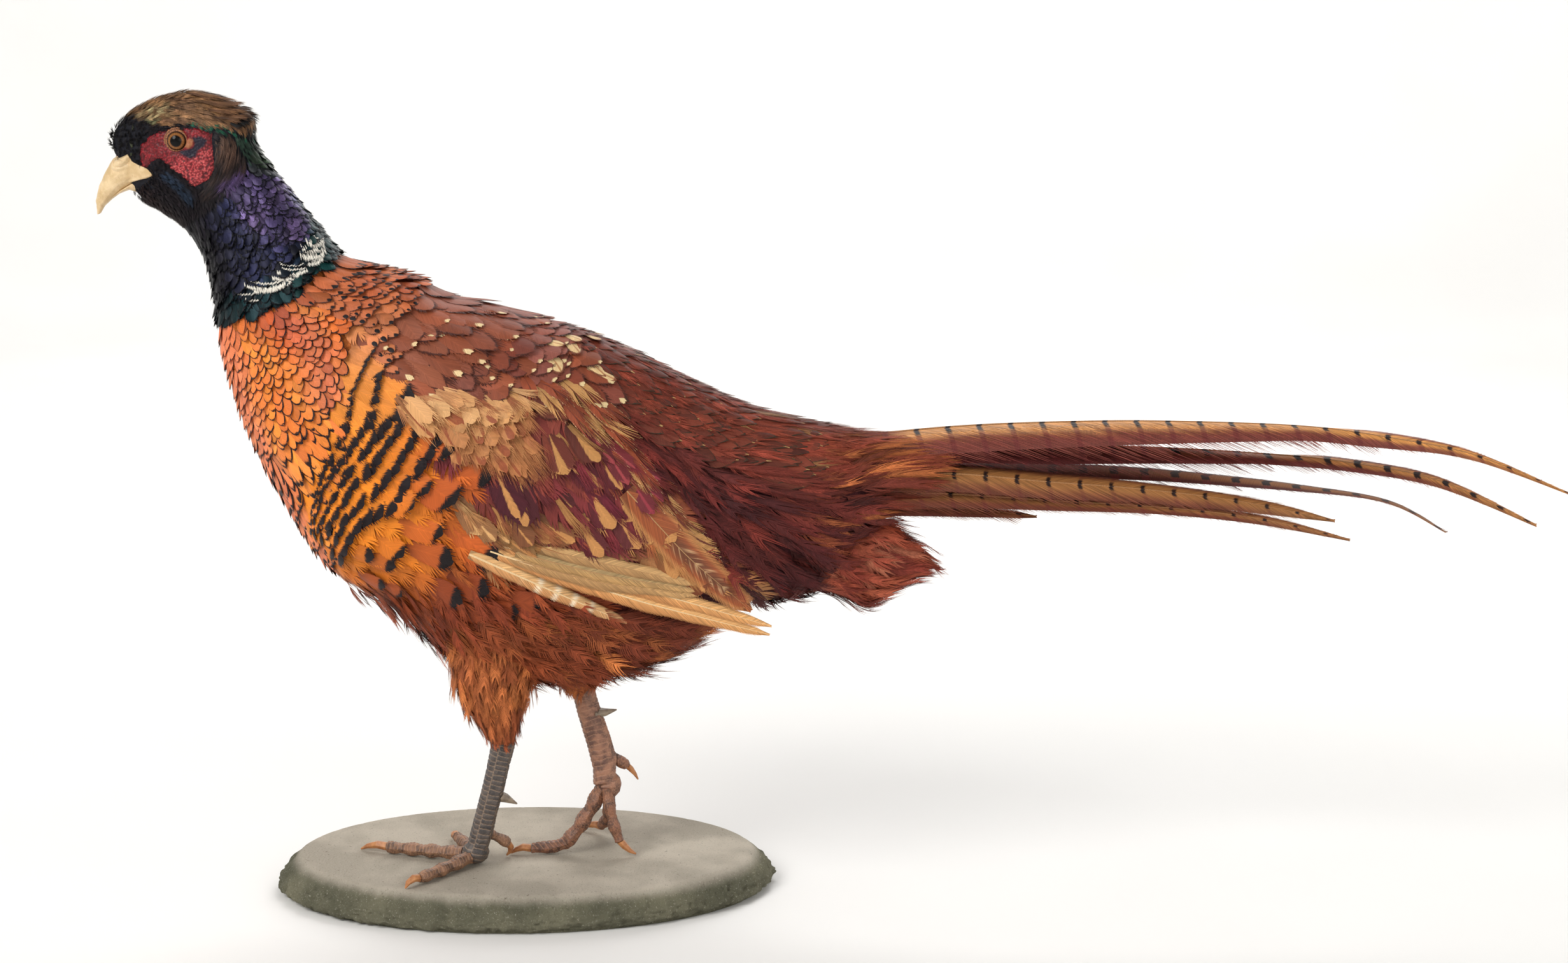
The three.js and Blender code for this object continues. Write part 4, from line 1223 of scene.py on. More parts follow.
# Rows of wing coverts, hindmost first: the line of the tips, their gap in the picture, the heading, length
# and half width in mm, the colours of vane and wedge, the wedge's share, and how far the tips stand off.
COVERT_ROWS = [
    ([(1092, 930), (1128, 944), (1166, 958)], 17, (0.72, 0.69), 30, 5.4, RUST, BUFF, 0.3, 1.2),
    ([(1040, 876), (1075, 908), (1096, 930)], 18, (0.55, 0.83), 34, 6.4, (168, 98, 52), BUFF, 0.4, 1.2),
    ([(800, 868), (850, 884), (905, 895)], 26, (0.8, 0.6), 30, 6.0, (176, 128, 76), BUFF, 0.3, 0.8),
    ([(930, 890), (968, 886), (1006, 878), (1042, 862)], 30, (0.42, 0.9), 32, 7.0, MAROON, BUFF, 0.42, 1.3),
    ([(800, 842), (850, 862), (900, 872)], 26, (0.62, 0.78), 26, 6.6, (150, 92, 56), BUFF, 0.4, 1.2),
    ([(905, 866), (952, 842), (986, 832), (1030, 838)], 40, (0.45, 0.89), 32, 8.4, MAROON, BUFF, 0.4, 1.8),
    ([(742, 812), (770, 842), (800, 862)], 20, (0.7, 0.7), 22, 6.4, (186, 136, 84), PALE, 0.4, 1.0),
    ([(800, 800), (842, 814), (886, 808)], 42, (0.5, 0.86), 30, 8.6, DEEP, BUFF, 0.42, 2.0),
    ([(908, 780), (950, 776), (985, 772)], 40, (0.42, 0.9), 32, 8.2, MAROON, BUFF, 0.3, 2.0),
    ([(1000, 780), (1028, 812), (1046, 828)], 18, (0.5, 0.86), 40, 4.4, (120, 36, 52), (140, 50, 60),
     0.2, 1.8),
    ([(820, 760), (856, 752)], 30, (0.5, 0.86), 26, 8.0, DEEP, (140, 80, 50), 0.2, 2.0),
    ([(880, 742), (912, 730), (940, 728)], 32, (0.48, 0.88), 28, 8.0, (124, 56, 42), (180, 128, 74),
     0.3, 2.2),
    ([(955, 720), (985, 760), (1000, 770)], 22, (0.5, 0.86), 40, 4.6, (130, 40, 54), (150, 60, 64),
     0.2, 2.0),
]
# Rows of the buff panel and of the long narrow feathers along the wing's rear edge.
PANEL_ROWS = [
    ([(752, 730), (790, 758), (830, 762), (866, 744)], 21, (0.6, 0.8), 32, 7.0, (172, 110, 66), 2.2),
    ([(720, 702), (770, 736), (816, 742), (860, 722)], 26, (0.62, 0.78), 30, 7.4, (184, 124, 76), 2.5),
    ([(690, 668), (740, 700), (800, 714), (866, 696)], 26, (0.66, 0.75), 30, 7.6, (182, 122, 74), 2.8),
    ([(654, 664), (690, 664), (720, 668), (790, 684), (864, 664)], 24, (0.7, 0.7), 26, 7.6, (202, 148, 94),
     3.1),
    ([(650, 650), (690, 650), (720, 640), (790, 664), (850, 650)], 24, (0.74, 0.67),
     22, 7.4, (216, 166, 112), 3.3),
]
REAR_ROWS = [
    ([(1110, 880), (1140, 912), (1172, 950)], 13, (0.62, 0.78), 34, 3.6, 1.6),
    ([(1066, 826), (1090, 850), (1110, 880)], 12, (0.6, 0.8), 36, 3.4, 2.2),
    ([(1020, 744), (1042, 780), (1066, 826)], 12, (0.6, 0.8), 36, 3.2, 2.6),
    ([(962, 740), (990, 770), (1010, 800)], 14, (0.58, 0.81), 34, 3.0, 2.6),
    ([(925, 690), (985, 716), (1008, 700)], 13, (0.62, 0.78), 32, 3.4, 3.0),
    ([(890, 660), (945, 680), (985, 672)], 13, (0.68, 0.73), 30, 3.6, 3.2),
    ([(868, 636), (905, 650), (950, 640)], 14, (0.72, 0.69), 26, 4.0, 3.3),
]


def lay_coverts(line, gap, heading, length, half, vane_color, wedge, share, stand):
    """Blunt coverts with a pale median wedge, and the loose barbs over them."""
    tips = spread_along(line, gap, 2.0)
    n = len(tips)
    hand_laid(wing, BLUNT, tips, heading, length=length * rng.uniform(0.93, 1.07, n), width=half * 0.92,
              lift=(-1.6, stand), arch=0.12, tint=vary(vane_color, wing_tint(tips), 0.25) * 0.8, spot=wedge,
              mark=wedge, shade=0.12, wild=0.4, streak=1.5 * share * rng.uniform(0.2, 1.2, n),
              turn=rng.normal(0, 0.1, n), pat=(0, rng.uniform(-0.05, 0.1, n), 0))
    tips = spread_along(line, gap * 0.4, 5.0)
    n = len(tips)
    tint = vary(vane_color, (150, 76, 50), 0.4 * rng.uniform(0, 1, n))
    tint = vary(tint, wedge, rng.uniform(0, 1, n) > 0.72)
    hand_laid(panel, BRUSH, tips, heading, length=length * rng.uniform(0.5, 0.95, n), width=half * 0.42,
              lift=(-0.6, stand + 0.2), arch=0.2, tint=tint, shade=0.16, wild=0.4, turn=rng.normal(0, 0.1, n))


def lay_panel(line, gap, heading, length, half, tint, stand):
    """Buff feathers with a few brown streaks, under many loose barbs."""
    tips = spread_along(line, gap * 0.55, 6.0)
    n = len(tips)
    hand_laid(wing, BLUNT, tips, heading, length=length * 1.05, width=half * 0.58, lift=(-1.2, stand),
              arch=0.12, tint=vary(tint, (182, 120, 72), 0.5 * rng.uniform(0, 1, n)), spot=(146, 78, 48),
              shade=0.09, wild=0.5,
              streak=np.where(rng.uniform(0, 1, n) < 0.5, rng.uniform(0.2, 0.8, n), 0.0),
              turn=rng.normal(0, 0.12, n))
    tips = spread_along(line, gap * 0.24, 6.0)
    n = len(tips)
    color = vary(tint, (146, 80, 48), rng.uniform(0, 1, n) ** 1.6)
    hand_laid(panel, BRUSH, tips, heading, length=length * rng.uniform(0.6, 1.05, n), width=half * 0.42,
              lift=(-0.6, stand + 0.35), arch=0.15, tint=color, shade=0.12, wild=0.4,
              turn=rng.normal(0, 0.12, n))


def lay_rear(line, gap, heading, length, half, stand):
    """Narrow feathers, buff or rusty, with a pale rim and a dark shaft."""
    tips = spread_along(line, gap, 2.0)
    n = len(tips)
    tint = vary((188, 138, 84), (142, 68, 42), rng.uniform(0, 1, n) > 0.45)
    hand_laid(wing, COMBED, tips, heading, length=length, width=half, lift=(-1.2, stand), arch=0.2, tint=tint,
              mark=(222, 186, 134), spot=(98, 46, 34), streak=0.24, pat=(0.06, 0, 0), shade=0.14, wild=0.3,
              turn=rng.normal(0, 0.07, n))


panel = coat("shoulder_panel", "wing_down")
for lay, table in ((lay_coverts, COVERT_ROWS), (lay_panel, PANEL_ROWS), (lay_rear, REAR_ROWS)):
    for row in table:
        lay(*row)

# ---------------------------------------------------------------- rump, belly, thighs and undertail

RUMP_FRONT = [(720, 400), (880, 520), (905, 620), (1010, 740), (1080, 826), (1180, 934), (1215, 990)]
RUMP_LOW = [(900, 900), (1100, 960), (1300, 1010)]


def below_back(q):
    """How far places lie below the line from the back to the tail, in the picture."""
    return q[:, 1] - np.interp(q[:, 0], [860, 1000, 1100, 1200, 1400], [560, 640, 700, 740, 760])


def on_rump(q):
    over_tail = np.interp(q[:, 1], [670, 710, 740, 790, 850], [1320, 1370, 1420, 1400, 1330])
    behind = (right_of(q, BACK_END) | ~above(q, WING_TOP)) & right_of(q, RUMP_FRONT) & (q[:, 0] < over_tail)
    return behind & ~above(q, NECK_LINE) & ~in_wing(q) & above(q, RUMP_LOW)


def rump_look(q):
    n = len(q)
    side = ramp(below_back(q), -20, 60)
    tint = vary((132, 62, 44), (98, 34, 32), side)
    tail = ramp(q[:, 0], 1220, 1400) * (1 - 0.5 * side)
    tint = vary(tint, (134, 68, 38), tail)
    tint = vary(tint, (130, 52, 40), 0.7 * ripple(q, 40, 11))
    tint = vary(tint, (40, 16, 20), 0.7 * side * ripple(q, 18, 65))
    tint = vary(tint, (164, 92, 50), (rng.uniform(0, 1, n) < 0.25) * ramp(q[:, 0], 1180, 1300))
    fleck = rng.uniform(0, 1, n) < 0.04 * (1 - side) * (q[:, 0] < 1200)
    tint = np.where(fleck[:, None], (136, 96, 60), tint)
    size = 0.9 + 0.5 * ramp(q[:, 0], 950, 1350)
    fall = np.interp(q[:, 0], [900, 1000, 1080, 1160, 1250, 1400], [40, 52, 54, 46, 26, 8])
    fall = fall + np.interp(q[:, 1], [780, 880], [0, 8])
    turn = turn_towards(q, fall) * side + 0.12 * (1 - side)
    return {
        "length": (24 + 6 * side) * size, "width": 7.0 * size, "lift": (-2.2, 0.2 + 1.2 * side), "arch": 0.1,
        "tint": tint, "shade": 0.24, "wild": 0.25 + 0.6 * side, "turn": turn + rng.normal(0, 0.12, n),
    }


rump = coat("rump_plumage", "down_feathers")
tract(rump, STRANDS, (100, 191.5), 5.6, 6.4, 0.2, on_rump, rump_look, 0.3)


def on_rump_top(q):
    return on_rump(q) & (below_back(q) < 20) & (q[:, 0] < 1260)


def rump_top_look(q):
    n = len(q)
    tint = vary((112, 50, 34), (86, 40, 30), ripple(q, 26, 66))
    spot = np.where(rng.uniform(0, 1, n) < 0.3, rng.uniform(0.06, 0.14, n), 0.0)
    return {
        "length": 18, "width": 4.6, "lift": (-1.4, 0.6), "arch": 0.14, "tint": tint, "mark": (46, 40, 28),
        "spot": (168, 132, 84), "pat": (0.04, 0.05 * (spot == 0), spot), "shade": 0.18,
        "wild": 0.3, "turn": 0.1 + rng.normal(0, 0.1, n),
    }


tract(back, LANCE, (100, 178), 6.4, 6.6, 0.14, on_rump_top, rump_top_look, 0.25)


def on_belly(q):
    return ~above(q, BELLY_LINE)


def belly_look(q):
    n = len(q)
    back = ramp(q[:, 0], 640, 1050)
    tint = vary((150, 74, 38), (112, 50, 32), back)
    tint = vary(tint, (120, 34, 30), 0.8 * ramp(gap_to(q, [(500, 880), (560, 945), (640, 1000)]), 50, 12))
    tint = vary(tint, (186, 108, 58), (rng.uniform(0, 1, n) < 0.3) * ripple(q, 26, 12))
    return {
        "length": 22, "width": 8.0, "lift": (-2.0, 2.0), "arch": 0.1, "tint": tint, "shade": 0.22,
        "wild": 1.3, "turn": 0.35 + rng.normal(0, 0.2, n),
    }


belly = coat("belly_plumage", "down_feathers")
tract(belly, SOFT_PLUMES, (104, 184), 5.4, 6.0, 0.4, on_belly, belly_look, 0.3)


# Sections of each thigh, top first: front Y, Z, rear Y, Z, half width and X.
THIGHS = {
    "left": [
        (-44, 173, 24, 177, 20, 30), (-39.4, 146, 12, 141, 18.5, 30), (-34.6, 122, 5.8, 120, 15, 30),
        (-27.2, 108, 1.6, 107, 11, 29.5), (-19.5, 97, -1.5, 96, 7.8, 29),
        (-17.5, 92.5, -2.6, 92.5, 6.4, 28.5),
    ],
    "right": [
        (0, 168, 72, 172, 20, -1), (7, 146, 63, 147, 18, 0), (15, 131, 52, 133, 13, 2),
        (22, 119, 42, 121.5, 7.2, 3),
    ],
}


def thigh_look(q, height):
    low = ramp(height, 130, 96)
    tint = vary((198, 116, 62), (160, 84, 48), low)
    tint = vary(tint, (128, 60, 36), 0.6 * ripple(q, 22, 13))
    size = 1 - 0.45 * low
    return {
        "length": 19 * size, "width": 6.2 * size, "lift": (-1.5, 1.2 - 1.4 * low), "arch": 0.1, "tint": tint,
        "shade": 0.2, "wild": 0.9, "turn": rng.normal(0, 0.14, len(q)),
    }


thighs = coat("thigh_plumage", "down_feathers")
for side, rows in THIGHS.items():
    leg = Surface(rings(dense(rows, 10), 72, 2.0, 0.0))
    s, a, q = lattice(leg, (0, leg.rows - 5), 4.2, 4.8, 0.25)
    half = (0, 0, 0.5, 1) if side == "left" else (0.5, 0, 1, 1)
    scatter(thighs, PLUMES, leg, s, a, region=half, **thigh_look(q, leg.at(s, a)[:, 2]))

# Sections of the undertail: upper Y, Z, lower Y, Z and half width.
UNDERTAIL = [
    (160, 216, 152, 181, 22), (184, 221, 178, 178, 21), (204, 221, 197, 171, 18), (218, 212, 210, 178, 12),
    (227, 205, 224, 187, 7), (234, 196, 233, 191, 2),
]
# The separate soft feathers that end the undertail: the tip and heading of each, length and half width in mm.
LOOSE_LOBES = [
    ((1478, 896), (0.94, 0.34), 34, 6.0), ((1452, 866), (0.96, 0.28), 34, 7.0),
    ((1462, 882), (0.95, 0.3), 32, 6.0), ((1420, 838), (0.97, 0.24), 30, 6.4),
    ((1404, 912), (0.8, 0.6), 30, 6.4), ((1384, 930), (0.72, 0.69), 26, 5.4),
    ((1360, 946), (0.66, 0.75), 26, 5.6), ((1430, 900), (0.88, 0.47), 32, 6.4),
    ((1330, 930), (0.66, 0.75), 28, 6.4), ((1392, 878), (0.93, 0.36), 30, 6.6),
    ((1340, 890), (0.86, 0.5), 30, 6.6),
]


def undertail_look(q):
    return {
        "length": 32, "width": 8.0, "lift": (-2.0, 2.0), "arch": 0.1, "shade": 0.2, "wild": 0.8,
        "tint": vary((168, 84, 58), (122, 48, 38), ripple(q, 30, 14)), "turn": rng.normal(0, 0.1, len(q)),
    }


undertail = coat("undertail_plumage", "down_feathers")
lobes = Surface(rings(dense(UNDERTAIL, 10), 72, 2.0, 0.0))
s, a, q = lattice(lobes, (0, 38), 4.6, 5.6, 0.25)
scatter(undertail, PLUMES, lobes, s, a, **undertail_look(q))
under_finder = Finder(lobes)
for place, heading, length, half in LOOSE_LOBES:
    lobe = {"length": length, "width": half, "over": under_finder, "wild": 0.6}
    hand_laid(undertail, SILKY, [place], heading, lift=(-1.0, 2.2), arch=0.14, tint=(150, 78, 58), shade=0.1,
              **lobe)
    hand_laid(undertail, PLUMES, [place], heading, lift=(-0.6, 2.6), arch=0.1, tint=(160, 92, 68), shade=0.16,
              **lobe)

# ---------------------------------------------------------------- quills: long feathers of shaft and barbs

CLUMP = 9  # mm along a vane from one clump of barbs to the next


def along(path, t):
    """Points of a path at distances t."""
    run = run_along(path)
    return np.stack([np.interp(t, run, path[:, k]) for k in range(path.shape[1])], -1)


def quill(piece, path, half, face, paint, region, *, bend, lean, step, free, shaft, shaft_color,
          bars=(0, 0.0, 0.0, 0.0), mark=(40, 26, 24), smear=(104, 40, 42), mirror=False):
    """A long feather: `half` widths and `face` directions at the path's points, `free` loosens its edges."""
    run = run_along(path)
    length = run[-1]
    first_bar, *pattern = bars
    curve_at = np.maximum(half, 0.5) / (bend * np.minimum(1.0, half / half.max() + 0.35) + 1e-3)

    def place(t, w, lift):
        """Points at distance t along the shaft and w across the bent vane."""
        t = np.clip(t, 0, length)
        way = unit(along(path, np.minimum(t + 1.0, length)) - along(path, np.maximum(t - 1.0, 0)))
        up = np.stack([np.interp(t, run, face[:, k]) for k in range(3)], -1)
        side = unit(np.cross(way, up))
        up = np.cross(side, way)
        curve = np.interp(t, run, curve_at)
        angle = w / curve
        raised = curve * (np.cos(angle) - 1) + lift
        return along(path, t) + (side * (curve * np.sin(angle))[..., None] + up * raised[..., None]), way

    def store(points, quads, x, t, grain, tint):
        if mirror:
            points = points * (-1, 1, 1) + (2 * MEDIAN, 0, 0)
        flat = points.reshape(-1, 3)
        n = len(flat)
        x, t, grain = (np.broadcast_to(v, points.shape[:-1]).ravel() for v in (x, t, grain))
        share = np.clip(t / length, 0, 1)
        u = region[0] + (region[2] - region[0]) * share
        v = region[1] + (region[3] - region[1]) * (0.5 + 0.5 * np.clip(x, -1, 1))
        piece.add(flat, quads, np.stack([u, v], -1)[quads].reshape(-1, 2), {
            "tint": linear(np.clip(tint.reshape(-1, 3), 0, 255)), "mark": plain(linear(mark), n),
            "spot": plain(linear(smear), n), "pat": plain(pattern, n), "grain": grain,
            "fea": np.stack([x, share, np.full(n, region[0] + region[1])], -1), "streak": t - first_bar,
        })

    def add_barbs(side):
        root = np.arange(0, length - 0.5, step)
        root = root + rng.normal(0, 0.12 * step, len(root))
        knots = np.arange(0, length + CLUMP, CLUMP)
        clump = np.interp(root, knots, rng.normal(0, 1, int(length / CLUMP) + 2)[: len(knots)])
        width = np.interp(np.minimum(root + half.max() * 0.6, length), run, half)
        width = width * (1 + rng.normal(0, 0.03 + 0.1 * free, len(root)) + 0.05 * clump)
        stations = np.array([0.02, 0.3, 0.58, 0.82, 1.0])
        w = stations * width[:, None]
        t = root[:, None] + w * (math.cos(lean) / math.sin(lean)) * (0.75 + 0.25 * stations)
        t = t + clump[:, None] * (0.7 + 2.5 * free) * stations**2
        lift = rng.normal(0, 0.02 + 0.5 * free, len(root))[:, None] * stations**2 + 0.1
        p, way = place(t, w * side, lift)
        thin = np.interp(stations, [0, 0.6 - 0.3 * free, 1], [0.62, 0.6, 0.16])[:, None] * step
        tint = paint(np.minimum(t, length), np.broadcast_to(stations * side, t.shape), t / length)
        tint = tint * (1 + rng.normal(0, 0.07, len(root)))[:, None, None]
        cells = 2 * np.arange(len(stations) - 1)[:, None] + (0, 1, 3, 2)
        quads = (cells + (np.arange(len(root)) * 2 * len(stations))[:, None, None]).reshape(-1, 4)
        store(np.stack([p - way * thin, p + way * thin], 2), quads, (stations * side)[None, :, None],
              t[:, :, None], root[:, None, None], np.repeat(tint[:, :, None], 2, 2))

    def add_vane():
        """The closed vane under the barbs, darkened as painted shade beneath them."""
        across = np.linspace(-0.84, 0.84, 9)
        t = np.linspace(0, length, max(8, int(length / 3)))
        w = across * np.interp(t, run, half)[:, None]
        along_it = t[:, None] + 0 * w
        # darkened by 0.8: painted shade under the barbs
        tint = paint(along_it, np.broadcast_to(across, w.shape), along_it / length) * 0.8
        p, _ = place(along_it, w, np.full(w.shape, -0.25))
        store(p, grid_quads(*w.shape), across, along_it, t[:, None], tint)

    def add_shaft():
        section = np.array([(-1, 0), (-0.5, 0.8), (0.5, 0.8), (1, 0)])
        t = np.linspace(0, length, max(8, int(length / 4)))
        thick = shaft * np.interp(t / length, [0, 0.6, 1], [1, 0.55, 0.15])[:, None]
        w = thick * section[:, 0] * 0.9
        along_it = t[:, None] + 0 * w
        p, _ = place(along_it, w, 0.1 + thick * section[:, 1] * 0.8)
        store(p, grid_quads(*w.shape), 0.2, along_it, t[:, None], plain(shaft_color, w.size))

    for side in (-1, 1):
        add_barbs(side)
    add_vane()
    add_shaft()


# Each tail feather: how far its vane bends, its roll, and its shaft as rows of Y, Z, X and half width.
TAIL = [
    (1.35, 0, [(190, 268, 14, 26), (245, 273.3, 14, 27), (300, 276, 15, 26), (361, 276.8, 16, 23),
     (441, 274.3, 18, 15), (494, 267.4, 20, 7.5), (537, 258.4, 21, 4), (590, 237, 22, 0.8)]),
    (1.15, 0, [(190, 262, 14, 20), (245, 263.5, 13, 21), (300, 262.5, 11.5, 21), (366, 260.3, 9, 17),
     (428, 256, 6, 11), (468, 251.3, 3, 7), (522, 240, 0, 5), (580, 213.5, -3, 1.2)]),
    (0.7, 0.62, [(190, 247, 26.5, 12.6), (240, 249.5, 28, 13.4), (297, 245, 29.5, 12.4),
     (348, 241, 29.5, 10), (402, 234.2, 29, 7.5), (458, 222.5, 28, 0.9)]),
    (0.7, -0.62, [(190, 247, 1.5, 12.6), (240, 249.5, 0, 13.4), (300, 248, -1.5, 12.6), (361, 245, -3, 10),
     (442, 236, -6, 6.4), (496, 226.5, -9, 4), (531, 207.5, -12, 1.2)]),
    (0.6, 0.52, [(190, 238.4, 26, 11.6), (240, 238, 28, 11), (300, 234.5, 30.5, 8), (360, 231, 31.5, 5.6),
     (415, 224.5, 32, 4.2), (466, 212.5, 32, 0.9)]),
    (0.6, -0.52, [(190, 238.4, 2, 11.6), (240, 238.5, 0, 12), (300, 236, -3, 10.6), (360, 231, -5, 8),
     (423, 219, -7, 0.9)]),
    (0.5, 0.3, [(190, 230.8, 25.5, 10.4), (230, 230.4, 27, 9.6), (262, 228.6, 28.5, 7),
     (291, 225.4, 30, 1)]),
    (0.5, -0.3, [(190, 230.8, 2.5, 10.4), (230, 231.4, 1, 10), (272, 231.2, -1, 7.6), (318, 227, -5, 1.6)]),
]


def tail_paint(buff, edge, buff_part, dusk=0.0):
    """Buff by the shaft and redder at the loose edges; `dusk` darkens the first part."""

    def paint(t, x, share):
        wide = np.abs(x)
        rust = ramp(wide, buff_part - 0.1, buff_part + 0.14) * ramp(share, 1.0, 0.7)
        color = vary(buff, edge, rust)
        return vary(color, (84, 34, 34), dusk * ramp(share, 0.7, 0.3))

    return paint


# Each feather's paint, its bars and its looseness. Bars: where along it they start, in mm, their half share,
# how far they reach across and how much smears on beyond that.
TAIL_LOOKS = [
    (tail_paint((206, 142, 78), (132, 66, 56), 0.44), (16.2, 0.1, 0.36, 0.55), 0.6),
    (tail_paint((192, 132, 76), (118, 54, 46), 0.36, 0.8), (21.0, 0.13, 0.5, 0.4), 0.55),
    (tail_paint((154, 104, 60), (124, 66, 46), 0.55), (19.0, 0.08, 0.34, 0.3), 0.45),
    (tail_paint((176, 114, 66), (104, 50, 42), 0.44, 0.7), (24.0, 0.15, 0.5, 0.5), 0.45),
    (tail_paint((146, 96, 58), (118, 62, 44), 0.45), (17.0, 0.08, 0.3, 0.4), 0.4),
    (tail_paint((146, 94, 58), (108, 56, 42), 0.5), (27.0, 0.1, 0.35, 0.3), 0.3),
    (tail_paint((130, 78, 50), (100, 52, 40), 0.5), (20.0, 0.1, 0.3, 0.3), 0.3),
    (tail_paint((130, 78, 50), (100, 52, 40), 0.5), (23.0, 0.1, 0.3, 0.3), 0.3),
]


def make_tail():
    piece = coat("tail_plumage", "tail_feathers")
    for k, (arch, roll, rows) in enumerate(TAIL):
        y, z, x, half = dense(rows, 10).T
        path = np.stack([x, y, z], -1)
        late = ramp(half / half.max(), 0.6, 0.2) * (0.75 if k < 2 else 0.3)
        face = np.stack([np.sin(roll + late), 0 * late, np.cos(roll + late)], -1)
        u, v = 0.02 + 0.5 * (k % 2), 0.02 + 0.24 * (k // 2)
        paint, bars, free = TAIL_LOOKS[k]
        quill(piece, path, half, face, paint, (u, v, u + 0.46, v + 0.22), bend=arch, lean=0.42, step=0.75,
              free=free, shaft=1.1 if k < 2 else 0.8, shaft_color=(158, 112, 70), bars=bars)


make_tail()

# ---------------------------------------------------------------- meshes made finer from the frame's solids


def welded(*names):
    """The vertices (mm) and triangles of some nodes, with shared corners merged."""
    verts, faces, base = [], [], 0
    for name in names:
        mesh = nodes[name].data
        mesh.calc_loop_triangles()
        tri = np.empty(len(mesh.loop_triangles) * 3, np.int32)
        mesh.loop_triangles.foreach_get("vertices", tri)
        verts.append(mesh_points(mesh) / MM)
        faces.append(tri.reshape(-1, 3) + base)
        base += len(verts[-1])
    verts, inverse = np.unique(np.round(np.concatenate(verts), 3), axis=0, return_inverse=True)
    faces = inverse.reshape(-1)[np.concatenate(faces)]
    ok = (faces[:, 0] != faces[:, 1]) & (faces[:, 1] != faces[:, 2]) & (faces[:, 0] != faces[:, 2])
    return verts, faces[ok]


def vertex_normals(verts, faces):
    a, b, c = (verts[faces[:, k]] for k in (0, 1, 2))
    face = np.cross(b - a, c - a)
    out = np.zeros_like(verts)
    for k in range(faces.shape[1]):
        np.add.at(out, faces[:, k], face)
    return unit(out)


def finer(names, voxel, smooth, grow):
    """Some nodes as one fine, evenly spaced mesh: vertices in mm, quads and normals."""
    verts, faces = welded(*names)
    verts = verts + vertex_normals(verts, faces) * grow
    raw = mesh_object("raw", verts * MM, faces)
    remesh = raw.modifiers.new("remesh", "REMESH")
    remesh.mode = "VOXEL"
    remesh.voxel_size = voxel * MM
    soften = raw.modifiers.new("smooth", "SMOOTH")
    soften.factor = 0.5
    soften.iterations = smooth
    shaped = raw.evaluated_get(bpy.context.evaluated_depsgraph_get()).to_mesh()
    verts = mesh_points(shaped).astype(float) / MM
    quads = np.empty(len(shaped.loops), np.int32)
    shaped.loops.foreach_get("vertex_index", quads)
    quads = quads.reshape(-1, 4)
    bpy.data.objects.remove(raw)
    return verts, quads, vertex_normals(verts, quads)


def cell_hash(cell, seed):
    x, y, z = np.moveaxis(cell, -1, 0)
    return x * 73856093 ^ y * 19349663 ^ z * 83492791 ^ seed * 2654435761


def lumps(points, size, seed):
    """Smooth random values from -1 to 1 in space, with lumps about `size` mm across."""
    q = np.asarray(points, float) / size + 1000.0
    cell = np.floor(q).astype(np.int64)
    f = q - cell
    f = f * f * (3 - 2 * f)
    total = 0.0
    for corner in range(8):
        d = np.array([corner & 1, corner >> 1 & 1, corner >> 2 & 1])
        h = cell_hash(cell + d, seed) & 0xFFFFFF
        h = (h * 1103515245 + 12345 >> 7) & 0xFFFF
        weight = np.prod(np.where(d == 1, f, 1 - f), axis=-1)
        total = total + weight * (h / 32767.5 - 1)
    return total


def pebbles(points, size, seed):
    """Distance to the nearest and the gap to the second of random cell centres, in cells."""
    q = np.asarray(points, float) / size + 500.0
    cell = np.floor(q).astype(np.int64)
    best = np.full(q.shape[:-1], 9.0)
    second = np.full(q.shape[:-1], 9.0)
    for step in itertools.product((-1, 0, 1), repeat=3):
        k = cell + step
        h = cell_hash(k, seed + 7)
        r = np.stack([(h * m >> 9 & 0x3FF) / 1023.0 for m in (16807, 48271, 69621)], -1)
        d = np.linalg.norm(k + r - q, axis=-1)
        second = np.minimum(second, np.maximum(best, d))
        best = np.minimum(best, d)
    return best, second - best


# ---------------------------------------------------------------- skin

FLESH = ["head", "neck", "trunk", "thigh_left", "thigh_right", "wing_left", "wing_right", "undertail_coverts"]


def skin_color(p):
    """The markings that the coat carries, on the skin."""
    q = seen_at(p)
    color = plain((150, 74, 46), len(p))
    color = vary(color, (190, 104, 46), ramp(-q[:, 0], -640, -560))
    color = vary(color, (112, 50, 40), ramp(q[:, 0], 800, 1000))
    color = vary(color, (70, 26, 30), ramp(q[:, 0], 950, 1080) * ramp(q[:, 1], 700, 780))
    dark = above(q, NECK_LINE)
    color[dark] = (26, 26, 34)
    color[above(q, CROWN_EDGE) & dark] = (84, 66, 48)
    return vary(color, (150, 88, 56), ramp(-p[:, 2], -150, -125))


def make_skin():
    """The flesh nodes as one surface, sunk under the coat, with the legs' skin least deep."""
    verts, quads, normals = finer(FLESH, 2.4, 8, 0.5)
    depth = 3.4 + 0.8 * ramp(verts[:, 1], -60, 0)
    depth = np.where(verts[:, 1] < -110, 2.0, depth)
    depth = np.where(verts[:, 1] < -150, 1.3, depth)
    depth = np.where(verts[:, 2] < 130, 1.6, depth)
    thin = np.interp(verts[:, 2], [92, 112], [0.4, 1.0])
    verts = pinched(verts - normals * (depth * thin)[:, None])
    verts[:, 2] += 12.0 * ramp(verts[:, 1], 190, 224) * ramp(verts[:, 2], 204, 170)
    skin = mesh_object("skin", verts * MM, quads, fields={"tint": linear(skin_color(verts))})
    g = Graph("skin", Roughness=0.75, Specular_IOR_Level=0.2)
    fine = g.noise(900.0, detail=3.0)
    g.color(g.scaled(g.attr("tint"), g.step(fine, 0.3, 0.7, 0.55, 1.0)))
    g.bump(fine, 0.4, 0.0006)
    skin.data.materials.append(g.material)
    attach(skin, "root")
    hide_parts(*FLESH)


make_skin()

# ---------------------------------------------------------------- head plumage

